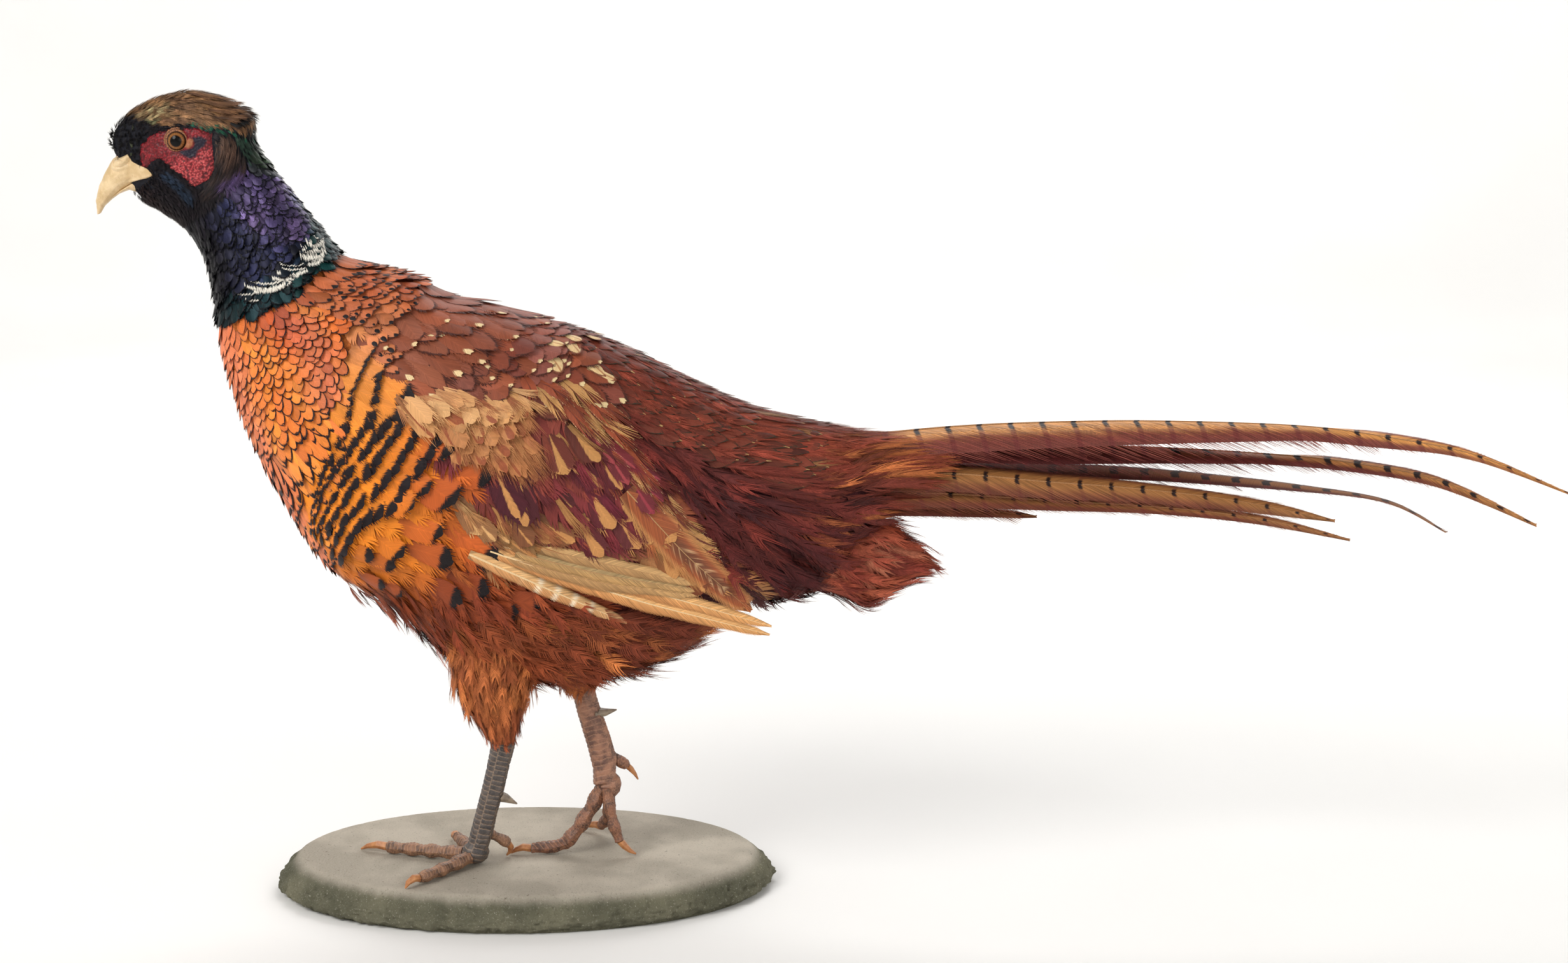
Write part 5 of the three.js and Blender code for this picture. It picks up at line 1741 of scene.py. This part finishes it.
EYE_OUT, EYE_Y, EYE_Z = 12.4, -180.0, 433.8  # the eyeball's centre: out from the median plane, Y and Z
EYE_RADIUS = 6.6


def on_head(q):
    bare = inside(q, WATTLE) & (edge_gap(q, WATTLE) > 3)
    return above(q, NECK_LINE) & ~right_of(q, HEAD_LINE) & ~bare & ~inside(q, BILL_SIDE)


def head_color(q):
    n = len(q)
    color = plain((26, 21, 25), n)
    chin = ramp(gap_to(q, [(215, 310), (260, 345), (300, 380)]), 26, 6)
    color = vary(color, (52, 38, 36), chin * 0.7)
    crown = above(q, CROWN_EDGE)
    green = above(q, GREEN_EDGE) & ~crown & (q[:, 0] > 262)
    color[green] = (20, 78, 58)
    olive = inside(q, NAPE) & ~crown & ~green
    color[olive] = (36, 54, 44)
    color[inside(q, CREST_SHADE)] = (14, 18, 18)
    ears = inside(q, EARS)
    fresh = ramp(gap_to(q[ears], [(346, 212), (362, 226)]), 26, 6)
    color[ears] = vary(vary((52, 38, 34), (28, 22, 24), ripple(q[ears], 9, 71)), (86, 62, 50), fresh)
    blue = ramp(gap_to(q, [(255, 276), (276, 292), (293, 312)]), 12, 4)
    color = vary(color, (38, 60, 84), blue * 0.6)
    violet = ramp(edge_gap(q, VIOLET), 10, 0)
    color = vary(color, (92, 70, 124), np.maximum(violet, inside(q, VIOLET)) * 0.7)
    gold = vary((150, 110, 74), (98, 70, 50), ripple(q * (0.35, 1.6), 9, 21))
    pale = ramp(gap_to(q, [(196, 196), (222, 184), (250, 172)]), 15, 3) * ripple(q, 7, 72)
    gold = vary(gold, (158, 148, 108), pale)
    gold = vary(gold, (60, 84, 62), ramp(gap_to(q, [(200, 194), (232, 194)]), 9, 2) * 0.6)
    color = np.where(crown[:, None], gold, color)
    fore = inside(q, FOREHEAD)
    speck = rng.uniform(0, 1, n) < 0.05
    color[fore] = np.where(speck[fore][:, None], (66, 70, 52), (20, 18, 19))
    return color


def head_look(q):
    n = len(q)
    crown = above(q, CROWN_EDGE)
    ears = inside(q, EARS)
    fore = inside(q, FOREHEAD)
    size = np.where(crown, 7.0, np.where(ears, 8.5, 3.8)) * rng.uniform(0.8, 1.2, n)
    near_bill = ramp(edge_gap(q, BILL_SIDE), 16, 2)
    size = size * (1 - 0.45 * near_bill * ~crown)
    size = np.where(fore, 2.8, size)
    rise = np.where(fore, 1.3, np.where(crown, 0.5, np.where(ears, 1.0, 0.6)))
    return {
        "length": size, "width": np.where(crown, 1.5, 1.3), "lift": (-0.8, rise), "arch": 0.0,
        "tint": head_color(q), "shade": 0.3, "wild": np.where(fore, 1.6, 0.4),
        "turn": np.where(ears, 0.2 + 0.011 * (q[:, 1] - 210), 0.05) + rng.normal(0, 0.14, n) * (1 + 6 * fore),
        "bend": np.where(ears, 0.45, 0.0),
    }


head = coat("head_plumage", "head_feathers")
tract(head, FINE_WISPS, (0.5, 72), 1.55, 1.7, 0.2, on_head, head_look, 0.3, last=72)


# The lines of the crest's tips, lowest first, and of the black wisps under them, which paint the shade under
# the crest.
CREST_ROWS = [
    [(404, 184), (392, 190), (372, 192)], [(398, 176), (380, 180), (352, 178)],
    [(388, 168), (366, 168), (338, 166)], [(374, 160), (346, 156), (322, 154)],
]
SHADE_UNDER_CREST = [(401, 190), (394, 200), (378, 204)]


def crest_rows():
    """The crown's hindmost feathers, which end in a short point behind the head."""
    for k, line in enumerate(CREST_ROWS):
        tips = spread_along(line, 2.4, 1.0)
        n = len(tips)
        tint = vary((146, 104, 70), (90, 62, 46), rng.uniform(0, 1, n))
        tint = vary(tint, (34, 26, 24), ramp(tips[:, 0], 386, 402) * 0.8)
        hand_laid(head, FINE_WISPS, tips, (0.97, 0.22), length=rng.uniform(9, 13, n), width=1.3,
                  lift=(-0.2, 4.2 - 0.8 * k), arch=0.0, tint=tint, shade=0.25, wild=0.5,
                  turn=rng.normal(0, 0.08, n))


# black wisps that paint the shade under the crest
hand_laid(head, FINE_WISPS, spread_along(SHADE_UNDER_CREST, 1.6, 1.0), (0.85, 0.53), length=8.0, width=1.3,
          lift=(-0.4, 2.4), arch=0.0, tint=(16, 14, 14), shade=0.2, wild=0.8)
crest_rows()

# ---------------------------------------------------------------- bare red skin round the eye

DARK_PATCH = [
    (303, 217), (315, 215), (324, 220), (320, 229), (310, 236), (307, 245), (298, 248), (288, 243),
    (282, 238), (293, 236), (303, 233), (307, 226),
]
CARUNCLE = [(291, 222), (298, 216), (305, 219), (304, 228), (297, 234), (290, 231)]
WATTLE_STEP = 0.42
WATTLE_Y = (-207, -155)
WATTLE_Z = (403, 446)


def wattle_color(p, q, bumps, edge):
    """Dark red, with painted shade between the pimples and a painted highlight on their tops, paler to the
    rear, with the dark patch and the lump.
    """
    rear = ramp(q[..., 1] - np.interp(q[..., 0], [216, 340], [270, 226]), -10, 14)
    # painted shade between the pimples, lighter on them
    red = vary((82, 10, 18), (172, 30, 42), bumps * 0.9 + 0.3 * lumps(p, 2, 4))
    red = vary(red, (206, 88, 88), rear * np.clip(bumps * 1.1 + 0.2 * lumps(p, 3, 6), 0, 1))
    # painted highlight on the pimples' tops
    red = vary(red, (220, 132, 120), np.clip(bumps - 0.5, 0, 1) * (0.4 + rear))
    red = vary(red, (60, 22, 28), ramp(lumps(p, 0.9, 73), 0.3, 0.6) * (0.25 + 0.6 * rear))
    dark = ramp(edge_gap(q, DARK_PATCH), 3, 0)
    red = vary(red, (22, 20, 38), np.where(inside(q, DARK_PATCH), 1.0, dark * 0.5) * 0.95)
    red = vary(red, (158, 104, 66), lump_over_eye(q) * 0.9)
    return vary(red, (70, 20, 28), ramp(edge, 1.0, 0.0) * 0.6)


def lump_over_eye(q):
    return ramp(edge_gap(q, CARUNCLE) * np.where(inside(q, CARUNCLE), -1, 1), 1.5, -2.0)


def make_wattle(side):
    """A pimpled sheet over the side of the head, sunk at its edges, with a hole for the eye."""
    y = np.arange(*WATTLE_Y, WATTLE_STEP)
    z = np.arange(*WATTLE_Z, WATTLE_STEP)
    gy, gz = np.meshgrid(y, z)
    base = np.full(gy.shape, np.nan)
    for cell in np.ndindex(gy.shape):
        x = side_of(head_side, gy[cell], gz[cell])
        base[cell] = np.nan if x is None else x
    level = np.where(np.isnan(base), MEDIAN + 12, base)
    for _ in range(6):
        level[1:-1, 1:-1] = (level[:-2, 1:-1] + level[2:, 1:-1] + level[1:-1, :-2] + level[1:-1, 2:]) / 4
    p = np.stack([level, gy, gz], -1)
    q = seen_at(p)
    edge = edge_gap(q, WATTLE) * HEAD_PIXEL_MM * np.where(inside(q, WATTLE), 1, -1)
    ring = np.hypot(gy - EYE_Y, gz - EYE_Z)
    bumps = np.clip(1 - pebbles(p * (0.4, 1, 1), 1.0, 3)[0] * 1.25, 0, 1)
    swell = 1.9 * ramp(edge, -0.8, 3.2) - 1.6 + 0.35 * lumps(p, 5.0, 8)
    swell = swell + 0.8 * bumps * ramp(edge, 0, 1.4) * ramp(ring, 6.4, 8.0)
    swell = np.where(ring < 7.2, swell + 0.8 * ramp(ring, 7.2, 5.6), swell)
    p[..., 0] += swell
    red = wattle_color(p, q, bumps, edge)
    p[..., 0] += 1.1 * lump_over_eye(q)
    keep = (edge > -0.6) & (ring > 5.1) & ~np.isnan(base)
    cells = keep[:-1, :-1] & keep[1:, :-1] & keep[:-1, 1:] & keep[1:, 1:]
    used, quads = np.unique(cell_quads(*np.nonzero(cells), len(y)), return_inverse=True)
    quads = quads.reshape(-1, 4)
    verts = p.reshape(-1, 3)[used]
    if side == "right":
        verts = verts * (-1, 1, 1) + (2 * MEDIAN, 0, 0)
        quads = quads[:, ::-1]
    tint = linear(red.reshape(-1, 3)[used])
    piece = mesh_object(f"wattle_skin_{side}", verts * MM, quads, fields={"tint": tint})
    g = Graph("wattle_skin", Roughness=0.45, Specular_IOR_Level=0.3, Subsurface_Weight=0.12,
              Subsurface_Scale=0.002)
    fine = g.noise(2600.0, detail=2.0)
    g.color(g.scaled(g.attr("tint"), g.step(fine, 0.3, 0.7, 0.85, 1.12)))
    g.bump(fine, 0.25, 0.0002)
    piece.data.materials.append(g.material)
    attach(piece, "root")
    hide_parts(f"wattle_{side}")


for side in SIDES:
    make_wattle(side)

# ---------------------------------------------------------------- eyes


def torus(center, radius, thick, jitter):
    """A slightly uneven ring round the X axis at a place."""
    around, tube = 64, 14
    t = np.linspace(0, 2 * math.pi, around, endpoint=False)
    u = np.linspace(0, 2 * math.pi, tube, endpoint=False)
    tt, uu = np.meshgrid(t, u, indexing="ij")
    wave = thick * (1 + jitter * np.sin(tt * 9) * 0.5 + jitter * np.sin(tt * 23 + 1))
    r = radius + np.cos(uu) * wave
    p = center + np.stack([np.sin(uu) * wave, r * np.cos(tt), r * np.sin(tt)], -1)
    i, j = np.meshgrid(np.arange(around), np.arange(tube), indexing="ij")
    quads = cell_quads(i, j, tube, True) % (around * tube)
    return p.reshape(-1, 3), quads[:, [0, 3, 2, 1]]


def make_eye(side):
    sign = 1 if side == "left" else -1
    center = np.array([MEDIAN + sign * EYE_OUT, EYE_Y, EYE_Z])
    around, high = 64, 40
    t = np.linspace(0, 2 * math.pi, around, endpoint=False)
    f = np.linspace(0.0, math.pi * 0.62, high)
    ff, tt = np.meshgrid(f, t, indexing="ij")
    bulge = EYE_RADIUS * (1 + 0.05 * np.exp(-(ff / 0.5) ** 2))
    wide = bulge * np.sin(ff)
    p = np.stack([bulge * np.cos(ff) * sign, wide * np.cos(tt), wide * np.sin(tt)], -1)
    quads = grid_quads(high, around, True)
    if side == "left":
        quads = quads[:, ::-1]
    disc = np.stack([EYE_RADIUS * np.sin(ff), tt, ff], -1).reshape(-1, 3)
    ball = mesh_object(f"eyeball_{side}", (p.reshape(-1, 3) + center) * MM, quads, fields={"disc": disc})
    g = Graph("eye_glass", Roughness=0.1, Specular_IOR_Level=0.16)
    radius, turn, _ = g.split(g.attr("disc"))
    spokes = g.strand_noise(g.mul(turn, 9.0), 1.0, 3.0)
    iris = g.blend(g.step(spokes, 0.3, 0.7), rgba((118, 74, 38)), rgba((148, 98, 54)))
    iris = g.blend(g.step(radius, 4.9, 3.9), rgba((40, 24, 16)), iris)
    iris = g.blend(g.step(radius, 2.9, 3.5), rgba((70, 42, 24)), iris)
    g.color(g.blend(g.step(radius, 2.75, 3.0), rgba((8, 7, 7)), iris))
    ball.data.materials.append(g.material)
    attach(ball, "root")
    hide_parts(f"eye_{side}")
    inner, quads = torus(center + (sign * 3.3, 0, 0), radius=5.5, thick=0.85, jitter=0.08)
    outer, _ = torus(center + (sign * 2.2, 0, 0), radius=6.6, thick=0.8, jitter=0.12)
    both = np.concatenate([quads, quads + len(inner)])
    lid = mesh_object(f"eyelid_{side}", np.concatenate([inner, outer]) * MM, both)
    g = Graph("eyelid", Roughness=0.55, Specular_IOR_Level=0.4)
    crease = g.noise(1500.0, detail=3.0)
    g.color(g.blend(g.step(crease, 0.35, 0.65), rgba((84, 48, 34)), rgba((164, 108, 68))))
    g.bump(crease, 0.5, 0.0002)
    lid.data.materials.append(g.material)
    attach(lid, "root")


for side in SIDES:
    make_eye(side)

# ---------------------------------------------------------------- bill


def horn_material(name, dark, pale, fleck, scale, rough):
    g = Graph(name, Specular_IOR_Level=0.5, Subsurface_Weight=0.05, Subsurface_Scale=0.001)
    stripes = g.noise(scale, detail=4.0, Roughness=0.6)
    fine = g.noise(scale * 9, detail=2.0)
    color = g.blend(g.step(stripes, 0.3, 0.7), rgba(dark), rgba(pale))
    color = g.blend(g.mul(g.step(fine, 0.55, 0.8), 0.35), color, rgba(fleck))
    g.color(color)
    g.rough(g.step(fine, 0.2, 0.8, rough - 0.06, rough + 0.12))
    g.bump(g.add(stripes, g.mul(fine, 0.4)), 0.3, 0.0003)
    return g.material


def fine_piece(name, node, voxel, smooth, material, shape=None, grow=0.0):
    """A node as one finer mesh; `shape` moves its points by their normals and may give fields."""
    verts, quads, normals = finer([node], voxel, smooth, grow)
    fields = {}
    if shape:
        verts, fields = shape(verts, normals)
    piece = mesh_object(name, verts * MM, quads, fields=fields)
    piece.data.materials.append(material)
    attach(piece, "root")
    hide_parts(node)


NOSTRIL = (-212.6, 422.6)  # Y and Z


def bill_shape(verts, normals):
    """Growth lines, a fine grain, a lump over the nostril and a gape that spreads over the cheek."""
    run = verts[:, 2] * 0.8 - verts[:, 1] * 0.6
    ridges = 0.05 * np.sin(run * 2.2 + lumps(verts, 4, 2) * 2)
    back = ramp(verts[:, 1], -215, -202) * ramp(np.abs(verts[:, 2] - 415.5), 7.0, 2.0)
    verts = verts + normals * (ridges + 0.06 * lumps(verts, 1.6, 5))[:, None] + (0, 7.0, 0) * back[:, None]
    spread = ramp(verts[:, 1], -222, -214)
    out = verts[:, 0] - MEDIAN
    for k in np.nonzero((spread > 0) & (np.abs(out) > 2.5))[0]:
        cheek = side_of(head_side, verts[k, 1], verts[k, 2])
        if cheek is not None:
            want = (cheek - MEDIAN + 0.4) * ramp(abs(out[k]), 2.5, 5.0)
            out[k] = math.copysign(abs(out[k]) + max(0.0, want - abs(out[k])) * spread[k], out[k])
    dy, dz = (verts[:, 1:] - NOSTRIL).T
    lump = np.hypot((dy * 0.55 - dz * 0.83) / 2.7, (dy * 0.83 + dz * 0.55) / 4.6)
    swell = 1.2 * ramp(lump, 1.0, 0.45) - 0.7 * ramp(np.abs(lump - 1.12), 0.16, 0.0)
    verts[:, 0] = MEDIAN + out + np.sign(out) * swell * (np.abs(out) > 3)
    return verts, {}


def lower_bill_shape(verts, normals):
    """Closed against the upper half."""
    grain = 0.06 * lumps(verts, 1.6, 5)
    narrow = 1 - 0.3 * ramp(verts[:, 1], -214, -204)
    verts = verts + normals * grain[:, None] + (0, 0.6, 2.6)
    verts[:, 0] = MEDIAN + (verts[:, 0] - MEDIAN) * narrow
    return verts, {}


BILL_HORN = horn_material("bill_horn", (200, 170, 124), (226, 200, 158), (166, 130, 88), 160.0, 0.36)
fine_piece("bill_upper_horn", "bill_upper", 0.4, 5, BILL_HORN, bill_shape, 0.1)
fine_piece("bill_lower_horn", "bill_lower", 0.4, 4, BILL_HORN, lower_bill_shape, 0.1)

# ---------------------------------------------------------------- legs

CLAW_HORN = horn_material("claw_horn", (158, 98, 58), (200, 138, 86), (96, 60, 42), 240.0, 0.4)
SPUR_HORN = horn_material("spur_horn", (112, 98, 84), (150, 134, 114), (84, 72, 60), 240.0, 0.4)


def scute_material(name, plate, patch_color, seam):
    g = Graph(name, Specular_IOR_Level=0.5)
    line = g.attr("seam", "Fac")
    patch = g.noise(220.0, detail=3.0)
    color = g.blend(g.step(patch, 0.35, 0.65), rgba(plate), rgba(patch_color))
    fine = g.noise(2400.0, detail=2.0)
    color = g.blend(g.mul(g.step(fine, 0.5, 0.8), 0.3), color, rgba(seam))
    g.color(g.blend(g.mul(line, 0.6), color, rgba(seam)))
    g.rough(g.step(fine, 0.2, 0.8, 0.4, 0.62))
    g.bump(fine, 0.3, 0.00015)
    return g.material


def scaly(start, end, front, pitch, knobs=0.0):
    """Plates across the front of a limb and small scales behind, from its axis and front direction."""
    way = unit(end - start)
    ahead = unit(np.array(front, float))

    def shape(verts, normals):
        run = (verts - start) @ way + 0.5 * lumps(verts, 4.0, 36)
        facing = normals @ ahead
        off = (verts - start) @ np.cross(way, ahead)
        phase = (run / pitch + np.where(off > 0, 0.5, 0.0)) % 1.0
        cut = np.minimum(phase, 1 - phase) * pitch
        seam_front = np.maximum(ramp(cut, 0.34, 0.06), ramp(np.abs(off), 0.34, 0.08) * (facing > 0.4))
        near, gap = pebbles(verts, 1.5, 4)
        seam_back = ramp(gap, 0.13, 0.03)
        plated = ramp(facing, 0.15, 0.45)
        seam = seam_front * plated + seam_back * (1 - plated)
        dome = 0.16 * np.sin(np.clip(phase, 0, 1) * math.pi) * plated + 0.2 * (1 - near) * (1 - plated)
        dome = dome + knobs * np.cos(run * 0.5 + 1.0) + 0.5 * knobs * lumps(verts, 3.0, 38)
        return verts + normals * (dome - 0.2 * seam)[:, None], {"seam": seam}

    return shape


def axis_of(name):
    """The two ends of a long node, the lower one last."""
    verts, _ = welded(name)
    middle = verts.mean(0)
    way = np.linalg.svd(verts - middle, full_matrices=False)[2][0]
    t = (verts - middle) @ way
    ends = middle + way * t.min(), middle + way * t.max()
    return sorted(ends, key=lambda end: -end[2])


LEG_LOOKS = {
    "left": scute_material("leg_scutes_left", (58, 55, 56), (86, 78, 74), (170, 142, 116)),
    "right": scute_material("leg_scutes_right", (158, 112, 88), (96, 66, 56), (188, 142, 112)),
}
TOE_LOOKS = {
    "left": scute_material("toe_scutes_left", (146, 106, 82), (84, 62, 52), (190, 146, 110)),
    "right": scute_material("toe_scutes_right", (138, 92, 70), (74, 52, 46), (180, 130, 96)),
}

TARSUS_FRONT = {"left": (0.95, -0.3, 0.05), "right": (0.5, -0.85, 0.1)}
for side in SIDES:
    top, bottom = axis_of(f"shank_{side}")
    shape = scaly(top, bottom, TARSUS_FRONT[side], 3.0)
    fine_piece(f"tarsus_{side}", f"shank_{side}", 0.45, 3, LEG_LOOKS[side], shape)
    fine_piece(f"spur_horn_{side}", f"spur_{side}", 0.3, 3, SPUR_HORN, grow=0.1)
    for toe in (f"{digit}_{side}" for digit in ("middle", "outer", "inner", "hind")):
        high, low = axis_of(f"toe_{toe}")
        shape = scaly(high, low, (0, 0, 1), 2.3, 0.45)
        fine_piece(f"digit_{toe}", f"toe_{toe}", 0.4, 3, TOE_LOOKS[side], shape, 0.15)
        fine_piece(f"claw_horn_{toe}", f"claw_{toe}", 0.25, 3, CLAW_HORN, grow=0.15)

# ---------------------------------------------------------------- base

BASE_HALF = (88.4, 145.4)


def base_shape(verts, normals):
    """Sand grains on top, which slopes down at its edge to a rougher rim with pits."""
    out = np.hypot(verts[:, 0] / BASE_HALF[0], verts[:, 1] / BASE_HALF[1])
    slope = ramp(out, 0.88, 1.0)
    top = ramp(out, 0.95, 0.9) * ramp(normals[:, 2], 0.3, 0.7)
    rim = 1 - top
    rough = 0.9 * lumps(verts, 6.0, 31) * rim
    rough = rough + (0.25 + 0.9 * rim) * lumps(verts, 2.8, 32) * (0.3 + 0.7 * rim)
    grooves = 0.6 * rim * lumps(verts * (1, 1, 3.5), 6.0, 35)
    pits = -1.1 * ramp(lumps(verts, 3.4, 34), 0.5, 0.8) * (0.15 + 0.85 * rim)
    lift = np.where(verts[:, 2] < 0.8, 0, rough + grooves + pits - 0.9 * rim)
    tuck = 1 - 0.03 * ramp(verts[:, 2], 7.0, 0.0) * ramp(out, 0.9, 1.0)
    low = verts * np.stack([tuck, tuck, 1 - 0.4 * slope], -1)
    return low + normals * lift[:, None], {"top": top}


def base_material():
    g = Graph("base_stone", Specular_IOR_Level=0.2)
    top = g.attr("top", "Fac")
    broad = g.noise(26.0, detail=4.0)
    grit = g.noise(900.0, detail=5.0, Roughness=0.8)
    sand = g.blend(g.step(broad, 0.35, 0.65), rgba((204, 194, 178)), rgba((178, 169, 154)))
    stone = g.blend(g.step(broad, 0.35, 0.65), rgba((126, 123, 102)), rgba((98, 97, 80)))
    color = g.blend(top, stone, sand)
    dark = g.step(grit, 0.58, 0.66)
    color = g.blend(g.mul(dark, 0.65), color, rgba((78, 72, 62)))
    pale = g.step(grit, 0.42, 0.34)
    color = g.blend(g.mul(pale, 0.6), color, rgba((212, 206, 190)))
    clods = g.noise(340.0, detail=4.0, Roughness=0.7)
    color = g.blend(g.mul(g.step(clods, 0.64, 0.7), 0.6), color, rgba((92, 82, 68)))
    g.color(color)
    g.rough(g.step(grit, 0.3, 0.7, 0.82, 0.95))
    g.bump(g.add(grit, g.mul(clods, 0.8)), 0.9, 0.0012)
    return g.material


fine_piece("base_board", "base", 1.15, 8, base_material(), base_shape)

# ---------------------------------------------------------------- flight feathers

PALE_BAR_SPACING = 10.5
wing_side = cast_tree("wing_left", "flight_feathers_left", "trunk")


def over_wing(places, lift):
    """A smooth path over the folded wing under places of the picture, and its outward directions."""
    count = 24
    run = run_along(places)
    want = np.linspace(0, run[-1], count)
    dense_places = smooth_rows(np.stack([np.interp(want, run, column) for column in zip(*places)], -1), 6)
    x = []
    for place in dense_places:
        hit = wing_side.ray_cast(Vector(EYE_POINT), Vector(sight_line(place)))[0]
        x.append(hit[0] if hit is not None else (x[-1] - 0.4 if x else MEDIAN + 55))
    x = smooth_rows(np.array(x), 10)
    path = np.array([at_plane(place, plane) for place, plane in zip(dense_places, x)])
    path[:, 0] += lift
    return path, unit(np.tile((1.0, 0.1, 0.22), (count, 1)))


def plain_paint(inner, outer, end, bars=0.0):
    """Colour from the shaft's leading side to its trailing side and to the end, with pale bars across."""

    def paint(t, x, share):
        color = vary(inner, outer, ramp(x, -0.4, 0.6))
        color = vary(color, end, ramp(share, 0.55, 1.0) * 0.6)
        phase = (t / PALE_BAR_SPACING) % 1.0
        on = ramp(np.abs(phase - 0.5), 0.36, 0.42) * ramp(share, 0.3, 0.42) * ramp(share, 0.86, 0.74)
        return vary(color, (236, 222, 196), on * bars)

    return paint


def taper(count, size):
    """Half widths along a flight feather."""
    return size * np.interp(np.linspace(0, 1, count), [0, 0.18, 0.5, 0.93, 1], [0.6, 0.95, 1, 0.55, 0.12])


def tertial_paint(t, x, share):
    """Buff edges, a rusty inside and a dark middle crossed by pale scrawls."""
    wide = np.abs(x)
    color = vary((150, 80, 46), (204, 142, 86), ramp(wide, 0.6, 0.9))
    middle = ramp(wide, 0.5, 0.2) * ramp(share, 0.3, 0.45) * ramp(share, 0.95, 0.8)
    color = vary(color, (92, 56, 40), middle * 0.8)
    scrawl = ramp(np.abs(lumps(np.stack([t, x * 8, 0 * t], -1), 4.0, 91)), 0.16, 0.05)
    return vary(color, (226, 190, 140), scrawl * middle * 0.8)


PRIMARY = plain_paint((224, 172, 112), (196, 136, 82), (212, 156, 98))
BARRED = plain_paint((212, 166, 112), (194, 138, 88), (216, 172, 122), 0.85)
SECOND = plain_paint((190, 150, 100), (164, 124, 80), (200, 158, 104))
OLIVE_SECOND = plain_paint((160, 134, 92), (176, 136, 86), (196, 154, 102))
# Flight feathers: their line in the picture, half width, how far they stand off the wing, and their paint.
QUILLS = [
    ([(790, 858), (1010, 926), (1212, 984)], 5.5, 0.6, PRIMARY),
    ([(770, 866), (1000, 944), (1209, 997)], 5.5, 1.0, PRIMARY),
    ([(738, 868), (860, 922), (986, 976)], 4.8, 5.0, BARRED),
    ([(796, 876), (940, 916), (1098, 936)], 4.4, 1.4, SECOND),
    ([(810, 868), (950, 904), (1100, 928)], 4.4, 1.6, OLIVE_SECOND),
    ([(850, 862), (980, 892), (1100, 918)], 4.4, 1.8, SECOND),
    ([(985, 770), (1080, 874), (1180, 958)], 10.5, 3.0, tertial_paint),
]


def make_flight(side):
    piece = coat(f"flight_quills_{side}", "flight_feathers")
    for k, (places, half, lift, paint) in enumerate(QUILLS):
        path, face = over_wing(places, lift - 1.5)
        u, v = 0.02 + 0.24 * (k % 4), 0.02 + 0.33 * (k // 4)
        shaft, shaft_color = (0.7, (232, 200, 152)) if k < 3 else (0.4, (176, 134, 90))
        quill(piece, path, taper(len(path), half), face, paint, (u, v, u + 0.22, v + 0.29), bend=0.35,
              lean=0.5, step=0.6, free=0.03, shaft=shaft, shaft_color=shaft_color, mirror=side == "right")


for side in SIDES:
    make_flight(side)

# ---------------------------------------------------------------- coats become pieces

STANDS_FOR = {
    "tail_plumage": [f"tail_feather_{k}" for k in range(1, 9)],
    "flight_quills_left": ["flight_feathers_left"],
    "flight_quills_right": ["flight_feathers_right"],
}

SLOT_OF = {"neck_down": "neck_feathers", "wing_down": "wing_feathers"}  # looks paired with another look's name
for name, (piece, look) in coats.items():
    made = piece.build(COAT_LOOK[look], SLOT_OF.get(look, look))
    if name in STANDS_FOR:
        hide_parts(*STANDS_FOR[name])

# ---------------------------------------------------------------- floor, light and camera

FLOOR_REACH = 2.3
WALL_BEND = 0.8
WALL_HEIGHT = 2.6


def make_floor():
    """A round floor whose rim curves up into a wall."""
    g = Graph("floor", Roughness=0.8, Specular_IOR_Level=0.1)
    soft = g.noise(3.0)
    g.color(g.blend(g.step(soft, 0.3, 0.7), rgba((238, 237, 235)), rgba((242, 241, 239))))
    turns = np.linspace(0, 1.5708, 14)
    bend = [(FLOOR_REACH + WALL_BEND * math.sin(a), WALL_BEND * (1 - math.cos(a))) for a in turns]
    profile = [(0.001, 0.0), (0.6, 0.0), (1.4, 0.0), *bend, (FLOOR_REACH + WALL_BEND, WALL_HEIGHT)]
    around = 96
    angle = np.linspace(0, 2 * math.pi, around, endpoint=False)
    verts = [(r * math.cos(a), r * math.sin(a), z) for r, z in profile for a in angle]
    floor = mesh_object("floor", verts, grid_quads(len(profile), around, True))
    floor.data.materials.append(g.material)


def area_light(name, place, aim, size, power, color=(1.0, 1.0, 1.0)):
    light = bpy.data.lights.new(name, "AREA")
    light.shape = "DISK"
    light.size = size
    light.energy = power
    light.color = color
    obj = bpy.data.objects.new(name, light)
    obj.location = place
    obj.rotation_euler = (Vector(aim) - Vector(place)).to_track_quat("-Z", "Y").to_euler()
    bpy.context.scene.collection.objects.link(obj)


def make_stage():
    make_floor()
    area_light("key_light", (1.5, -1.25, 1.75), (0, 0, 0.25), 1.3, 36, (1.0, 0.985, 0.96))
    area_light("fill_light", (1.6, 1.4, 0.9), (0, 0.1, 0.2), 1.6, 8)
    area_light("rim_light", (-1.3, 0.5, 1.5), (0, 0.1, 0.3), 1.4, 12)
    area_light("back_light", (-1.5, 0.15, 2.5), (-3.1, 0.15, 0.7), 1.6, 34)
    world = bpy.data.worlds.new("studio")
    world.use_nodes = True
    world.node_tree.nodes["Background"].inputs["Color"].default_value = (1.0, 1.0, 1.0, 1.0)
    world.node_tree.nodes["Background"].inputs["Strength"].default_value = 0.38
    scene = bpy.context.scene
    scene.world = world
    scene.view_settings.view_transform = "Standard"
    camera = bpy.data.cameras.new("camera")
    camera.sensor_width = 36.0
    camera.lens = FOCAL * 36.0 / (2 * MIDDLE[0])
    obj = bpy.data.objects.new("camera", camera)
    obj.location = EYE_POINT * MM
    obj.rotation_euler = (math.pi / 2 - PITCH, 0, math.pi / 2)
    scene.collection.objects.link(obj)
    scene.camera = obj


make_stage()
